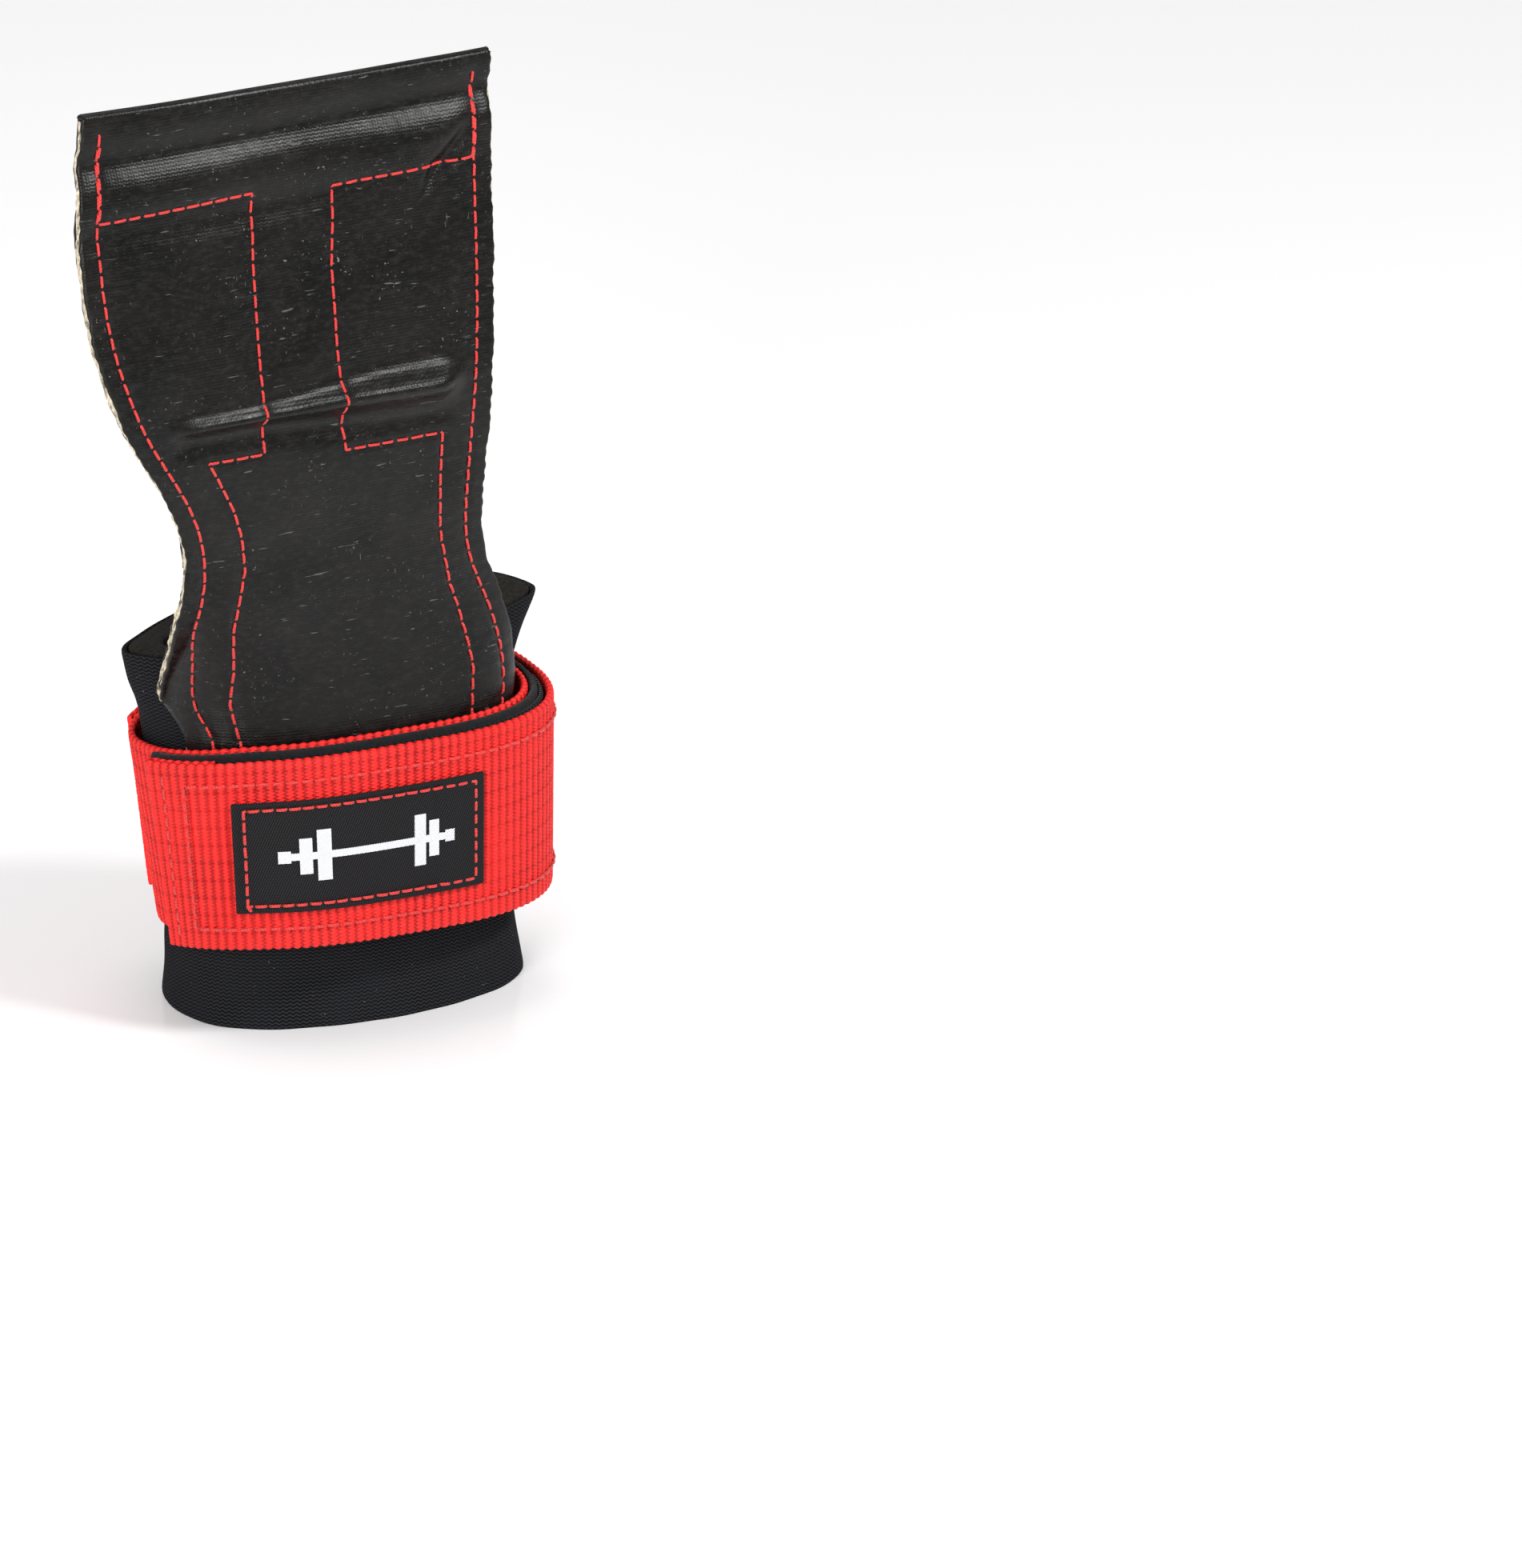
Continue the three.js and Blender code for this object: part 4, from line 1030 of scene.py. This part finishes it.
TOP = 189.0
TAIL_BOTTOM = STRAP_RISE + 2
flap_left = Profile([(TAIL_BOTTOM, -29), (STRAP_TOP - 12, -36.9), (STRAP_TOP + 1, -38.9), (STRAP_TOP + 7, -41.4),
                     (STRAP_TOP + 16, -42.6), (STRAP_TOP + 25, -44), (98, -44.2), (110, -47.8), (FINGER_FOLD, -58),
                     (145, -63.2), (TOP - 23, -64.5), (TOP, -62.5)])
flap_right = Profile([(TAIL_BOTTOM, 20), (STRAP_TOP - 12, 24.5), (STRAP_TOP + 5, 27), (STRAP_TOP + 18, 24),
                      (92, 17.8), (104, 16.5), (FINGER_FOLD, 17.2), (145, 18.4), (TOP - 2, 21)])
flap_front = Profile([(STRAP_TOP, -24.2), (95, -26.5), (FINGER_FOLD, -29.5), (160, -24.5), (TOP, -20.5)])


def flap_face(u, z):
    """The flap's front face: on the strap's inner face at the tail, free above it."""
    x = flap_left(z) * (1 - u) + flap_right(z) * u
    left, right, front = cuff_oval(np.clip(z, STRAP_RISE, STRAP_TOP))[:3]
    wide = np.where(x < 0, left, right) + GAP + 0.1
    front = front + 2 * GAP + FLAP_THICK + 0.4
    reach = np.minimum(0.98, (np.abs(x) / wide) ** 3)
    on_strap = GAP - front * (1 - reach) ** (1 / 3)
    curl = (6 + (1.2 - 6) * ease(STRAP_TOP, 110, z)) * np.abs(2 * u - 1) ** 3
    free = ease(STRAP_TOP - 2, 92, z)
    return np.stack([x, on_strap * (1 - free) + (flap_front(z) + curl) * free, z + 0 * u], axis=-1)


FLAP_WAVES = wobble(11, (60, 0.5), (24, 0.16))


def flap_dent(u, z):
    """How far the whole flap is pushed back from its plain shape: waves, the finger fold's ridge and a tuck."""
    x = flap_left(z) * (1 - u) + flap_right(z) * u
    free = ease(STRAP_TOP + 4, 90, z)
    tall = TOP - z + 0.03 * x
    # humps and hollows across the folded end, by their distance from its top
    roll = 1.5 * np.exp(-((tall - 8.0) / 3.2) ** 2) - 0.3 * np.exp(-((tall - 15.5) / 3.5) ** 2)
    roll += 0.7 * np.exp(-((tall - 22) / 3.0) ** 2) * (1 - ease(-8, 6, x))
    # the finger fold's ridge with the hollow below it, fading towards both edges
    strong = ease(-52, -44, x) * (1 - ease(5, 13, x))
    wide = 1.3 + 1.5 * ease(-36, 0, x)
    from_ridge = z - 0.02 * x - FINGER_FOLD - 0.4
    fold = -(1.6 + 1.9 * ease(-36, 0, x)) * np.exp(-(from_ridge / wide) ** 2)
    valley = 1.2 * np.exp(-((from_ridge + 1.2 + 2 * wide) / 2.4) ** 2)
    # a slanting tuck beside the right seam
    side = np.exp(-((z - 171 - 0.95 * (x - 12)) / 2.4) ** 2) * ease(3, 9, x) * (1 - ease(13, 18, x))
    return free * (FLAP_WAVES(x, z) + roll + strong * (fold + valley) + 1.5 * side)


def flap_point(u, z, depth, extra=0.0):
    """Points in the flap, a depth behind its front face."""
    u, z = np.broadcast_arrays(np.asarray(u, float), np.asarray(z, float))
    tangent_u = flap_face(u + 0.01, z) - flap_face(u - 0.01, z)
    tangent_z = flap_face(u, z + 0.5) - flap_face(u, z - 0.5)
    back = unit(np.cross(tangent_z, tangent_u))
    return flap_face(u, z) + back * (depth + flap_dent(u, z) + extra)[..., None]


SEAM_INSET = 3.4


def inside_left(inset, z):
    return flap_left(z) + inset, z


def inside_right(inset, z):
    return flap_right(z) - inset, z


def seam_lines():
    """The flap's four runs of stitches, as corners of x and height."""
    strip, fold, panel = -21.0, FINGER_FOLD, TOP - 21
    heights = np.arange(WRIST_FOLD - 5, TOP - 4, 2.0)
    left = [inside_left(SEAM_INSET, z) for z in heights]
    right = [inside_right(SEAM_INSET, z) for z in heights]
    left_panel = [inside_left(SEAM_INSET + 0.2, panel), (strip - 8.3, panel + 1.2), (strip - 9.3, panel - 12),
                  (strip - 9.6, panel - 32), (strip - 9, fold - 8.3), inside_left(11.9, fold - 8.3)]
    left_panel += [inside_left(inset, z) for z, inset in
                   [(fold - 13, 11.6), (fold - 19, 11.5), (fold - 25, 11.4), (fold - 32, 11.3), (90, 10.6),
                    (STRAP_TOP + 25, 10.1), (STRAP_TOP + 15, 9.8), (STRAP_TOP + 8, 8.8), (STRAP_TOP - 2, 8)]]
    right_panel = [inside_right(SEAM_INSET + 0.2, panel + 1), (strip + 8.4, panel), (strip + 7, panel - 14),
                   (strip + 6.5, panel - 30), (strip + 8, fold - 10.5), inside_right(9.5, fold - 10.5)]
    right_panel += [inside_right(inset, z) for z, inset in
                    [(fold - 20, 9.2), (fold - 31, 8.9), (STRAP_TOP + 27, 9.6), (STRAP_TOP + 21.7, 10),
                     (STRAP_TOP + 15, 10.4), (STRAP_TOP + 9, 10.6), (STRAP_TOP - 2, 10.8)]]
    return {"border_left": left, "border_right": right, "panel_left": left_panel, "panel_right": right_panel}


SEAMS = {name: along_lines([(float(x), float(z)) for x, z in corners], 0.4) for name, corners in seam_lines().items()}


def seam_dent(u, z):
    """How far the stitches pull the flap's skin in, with a small pucker at every stitch."""
    x = flap_left(z) * (1 - u) + flap_right(z) * u
    spots = np.stack([x.ravel(), z.ravel()], axis=-1)
    dent = np.zeros(len(spots))
    for line in SEAMS.values():
        near = np.full(len(spots), 1e9)
        where = np.zeros(len(spots))
        coarse = line[::2]
        for start in range(0, len(spots), 20000):
            chunk = spots[start:start + 20000]
            d2 = ((chunk[:, None] - coarse[None]) ** 2).sum(axis=-1)
            best = d2.argmin(axis=1)
            near[start:start + 20000] = d2[np.arange(len(chunk)), best]
            where[start:start + 20000] = best * 0.8
        reach = np.sqrt(near)
        dent += 0.3 * np.exp(-(reach / 0.75) ** 2) + 0.1 * np.exp(-(reach / 2.6) ** 2) * (
            1 + 0.45 * np.cos(2 * math.pi * where / 3.03))
    return dent.reshape(x.shape)


JOIN = 97.0            # the lower and the upper half of the flap meet at this height
SKIN_THICK, SKIN_COLUMNS = 0.85, 132
BACK_DEPTH = FLAP_THICK - SKIN_THICK
# name, depths of both faces, trim at the cut edge (below 0 stands proud), finish
PLIES = (("lining_front", 0.86, 1.12, -0.3, "canvas"), ("filler", 1.16, 1.64, 0.1, "rubber"),
         ("lining_back", 1.68, 1.94, -0.26, "canvas"))


def edge_ply(u, z, seed):
    """Small unevenness of a cut edge, in mm across the flap."""
    return wobble(seed, (7, 0.18), (2.3, 0.1))(z * 1.0, u * 40)


def ragged(u, z, amount):
    """Shares across the flap, with both cut edges moved in by an amount in mm."""
    return u - np.sign(u - 0.5) * np.abs(2 * u - 1) ** 8 * amount / (flap_right(z) - flap_left(z))


def flap_slab(name, z, depths, material, columns, dents, seed, trim=0.0):
    u = np.linspace(0, 1, columns)[None, :] + 0 * z[:, None]
    heights = z[:, None] + 0 * u
    u = ragged(u, heights, trim + edge_ply(u, heights, seed))
    dent = seam_dent(u, heights)
    a = flap_point(u, heights, depths[0], dent * dents[0])
    b = flap_point(u, heights, depths[1], dent * dents[1])
    return loft(name, a, b, u * 80, heights, material, bulge=0.3)


def wrapped_slab(name, z, radii, dents, seed):
    """A ply of the upper half that runs up the front, over the top and down the back."""
    middle, top = FLAP_THICK / 2, TOP - FLAP_THICK / 2 - 0.1
    angles = np.linspace(0, math.pi, 15)[1:-1]
    heights = np.concatenate([z, np.full(len(angles), top), z[::-1]])[:, None]
    turn = np.concatenate([np.zeros(len(z)), angles, np.full(len(z), math.pi)])[:, None]
    u = np.linspace(0, 1, SKIN_COLUMNS)[None, :] + 0 * heights
    heights = heights + 0 * u
    u = ragged(u, heights, edge_ply(u, heights + 30 * turn, seed))
    dent = seam_dent(u, heights)
    faces = []
    for radius, share in zip(radii, dents):
        points = flap_point(u, heights, middle - radius * np.cos(turn), dent * share * np.cos(turn))
        points[..., 2] += radius * np.sin(turn) * (1 + 0.25 * np.sin(u * 9 + 1) * 0.3)
        faces.append(points)
    run = np.concatenate([z, top + np.linspace(0, 4.4, len(angles)), 2 * top + 4.4 - z[::-1]])[:, None] + 0 * u
    return loft(name, faces[0], faces[1], u * 80, run, RUBBER, bulge=0.3)


def fold_line(y, z):
    return tuple((np.array([0, y, z]) + SHIFT) * MM)


WRIST = ("cuff", "palm_flap", fold_line(-24.2, WRIST_FOLD - 2.8), fold_line(-24.2, WRIST_FOLD + 5.0))
FINGERS = ("palm_flap", "finger_flap", fold_line(-29.5, FINGER_FOLD - 6), fold_line(-29.5, FINGER_FOLD + 6))


def sheet_area(low, high):
    z = np.linspace(low, high, 200)
    return float((flap_right(z) - flap_left(z)).mean() * (high - low))


def add_flap():
    low = np.linspace(TAIL_BOTTOM, JOIN, 118)
    high = np.linspace(JOIN, TOP - FLAP_THICK / 2 - 0.1, 140)
    for name, depths, dents, nodes in (
            ("flap_lower_front", (0.0, SKIN_THICK), (1, 0.3), ("flap_tail_front_skin", "flap_palm_front_skin")),
            ("flap_lower_back", (BACK_DEPTH, FLAP_THICK), (-0.3, -0.9),
             ("flap_tail_back_skin", "flap_palm_back_skin"))):
        piece = flap_slab(name, low, depths, RUBBER, SKIN_COLUMNS, dents, 5 + len(name))
        settle(piece, WRIST, "rubber", *nodes)
        sheet_area(TAIL_BOTTOM, JOIN) * MM * MM
    radius = FLAP_THICK / 2
    piece = settle(wrapped_slab("flap_upper_wrap", high, (radius, radius - SKIN_THICK), (1, 0.3), 17),
                   FINGERS, "rubber", "flap_finger_skin")
    2 * sheet_area(JOIN, TOP) * MM * MM
    for name, near, far, trim, slot in PLIES:
        material = CANVAS if slot == "canvas" else RUBBER
        lower = flap_slab(f"flap_lower_{name}", low, (near, far), material, 60, (0, 0), 23 + len(name), trim)
        settle(lower, WRIST, slot, *(("flap_tail_core", "flap_palm_core") if name == "filler" else ()))
        upper = flap_slab(f"flap_upper_{name}", high, (near, far), material, 60, (0, 0), 29 + len(name), trim)
        settle(upper, FINGERS, slot, *(("flap_finger_core",) if name == "filler" else ()))
    add_flap_seams()


def flap_seam(name, line, body, near, seed, nodes=(), radius=0.25):
    """Stitches along part of a seam; near is the side of the flap that they show on."""
    x, z = line.T
    u = (x - flap_left(z)) / (flap_right(z) - flap_left(z))
    dent = seam_dent(u, z)
    depth, sign = (0.0, 1) if near else (FLAP_THICK, -1)
    path = flap_point(u, z, depth, sign * dent * (1 if near else 0.9))
    normals = (flap_point(u, z, depth - sign, 0) - flap_point(u, z, depth, 0))
    seam = lockstitches(name, path, normals, THREAD, length=2.75, radius=radius, seed=seed)
    return settle(seam, body, "thread", *nodes)


def add_flap_seams():
    for k, (name, line) in enumerate(SEAMS.items()):
        part, side = name.split("_")
        for half, body, chosen, seam_node in (
                ("lower", WRIST, line[line[:, 1] <= JOIN], f"palm_{part}_thread_{side}"),
                ("upper", FINGERS, line[line[:, 1] > JOIN], f"finger_{part}_thread_{side}")):
            flap_seam(f"{name}_stitching_{half}", chosen, body, True, 50 + k, (seam_node,))
            flap_seam(f"{name}_bobbin_{half}", chosen, body, False, 60 + k)
    for side, edge, inset in (("left", flap_left, SEAM_INSET + 0.3), ("right", flap_right, -SEAM_INSET - 0.3)):
        doubled = along_lines([(float(edge(z)) + inset, z) for z in np.arange(TOP - 20.5, TOP - 6, 2.0)])
        flap_seam(f"backtack_{side}", doubled, FINGERS, True, 71, radius=0.28)


add_cuff()
add_straps()
add_ring()
add_keeper()
add_label()
add_strap_seams()
add_flap()


# ---- camera, floor and light ----

def hold(name, data, axes, place):
    """A camera or a lamp at a place, turned so that its own axes lie along the axes given."""
    holder = bpy.data.objects.new(name, data)
    holder.matrix_world = Matrix([[*axis, 0] for axis in axes] + [[0, 0, 0, 1]]).transposed()
    holder.location = place
    bpy.context.scene.collection.objects.link(holder)
    return holder


def set_camera():
    azimuth, elevation = math.radians(26), math.radians(21)
    focal, scale = 80000.0, 6.684            # a very long lens: pixels of its focal length, and for each mm
    photo_width, sensor = 1960, 36
    right = np.array([math.cos(azimuth), -math.sin(azimuth), 0])
    look = np.array([math.sin(azimuth) * math.cos(elevation), math.cos(azimuth) * math.cos(elevation),
                     -math.sin(elevation)])
    up = np.cross(right, look)
    aim = SHIFT + 77.95 * right + 36.43 * up         # the photo's middle, in mm from the cuff's own middle
    camera = bpy.data.cameras.new("camera")
    camera.lens, camera.sensor_width = focal * sensor / photo_width, sensor
    camera.clip_start, camera.clip_end = 1.0, 40     # metres
    bpy.context.scene.camera = hold("camera", camera, (right, up, -look), (aim - look * focal / scale) * MM)


def add_area(name, place, aim, size, power):
    light = bpy.data.lights.new(name, "AREA")
    light.shape, light.size, light.size_y, light.energy = "RECTANGLE", size[0], size[1], power
    back = np.array(place, float) - np.array(aim, float)
    back = back / np.linalg.norm(back)
    side = np.cross([0, 0, 1], back)
    side = side / np.linalg.norm(side)
    hold(name, light, (side, np.cross(back, side), back), place)


def set_stage():
    reach, daylight = 6.0, 0.46
    mesh = bpy.data.meshes.new("floor")
    mesh.from_pydata([(x, y, 0) for x, y in box_corners(-reach, reach, -reach, reach)[:4]], [], [(0, 1, 2, 3)])
    mesh.materials.append(floor_material())
    floor = bpy.data.objects.new("floor", mesh)
    bpy.context.scene.collection.objects.link(floor)
    world = bpy.data.worlds.new("studio")
    world.use_nodes = True
    for socket, value in zip(world.node_tree.nodes["Background"].inputs, (colour(1, 1, 1), daylight)):
        socket.default_value = value
    bpy.context.scene.world = world
    add_area("overhead", (-0.1, 0.25, 1.1), (0, 0, 0.08), (1.0, 0.7), 5)
    add_area("front_left", (-0.95, -0.95, 0.5), (0, 0, 0.06), (0.6, 0.6), 15.5)
    add_area("front_right", (0.45, -0.68, 0.82), (0, 0, 0.12), (0.3, 0.13), 8.5)
    bpy.context.scene.view_settings.view_transform = "Standard"


set_camera()
set_stage()
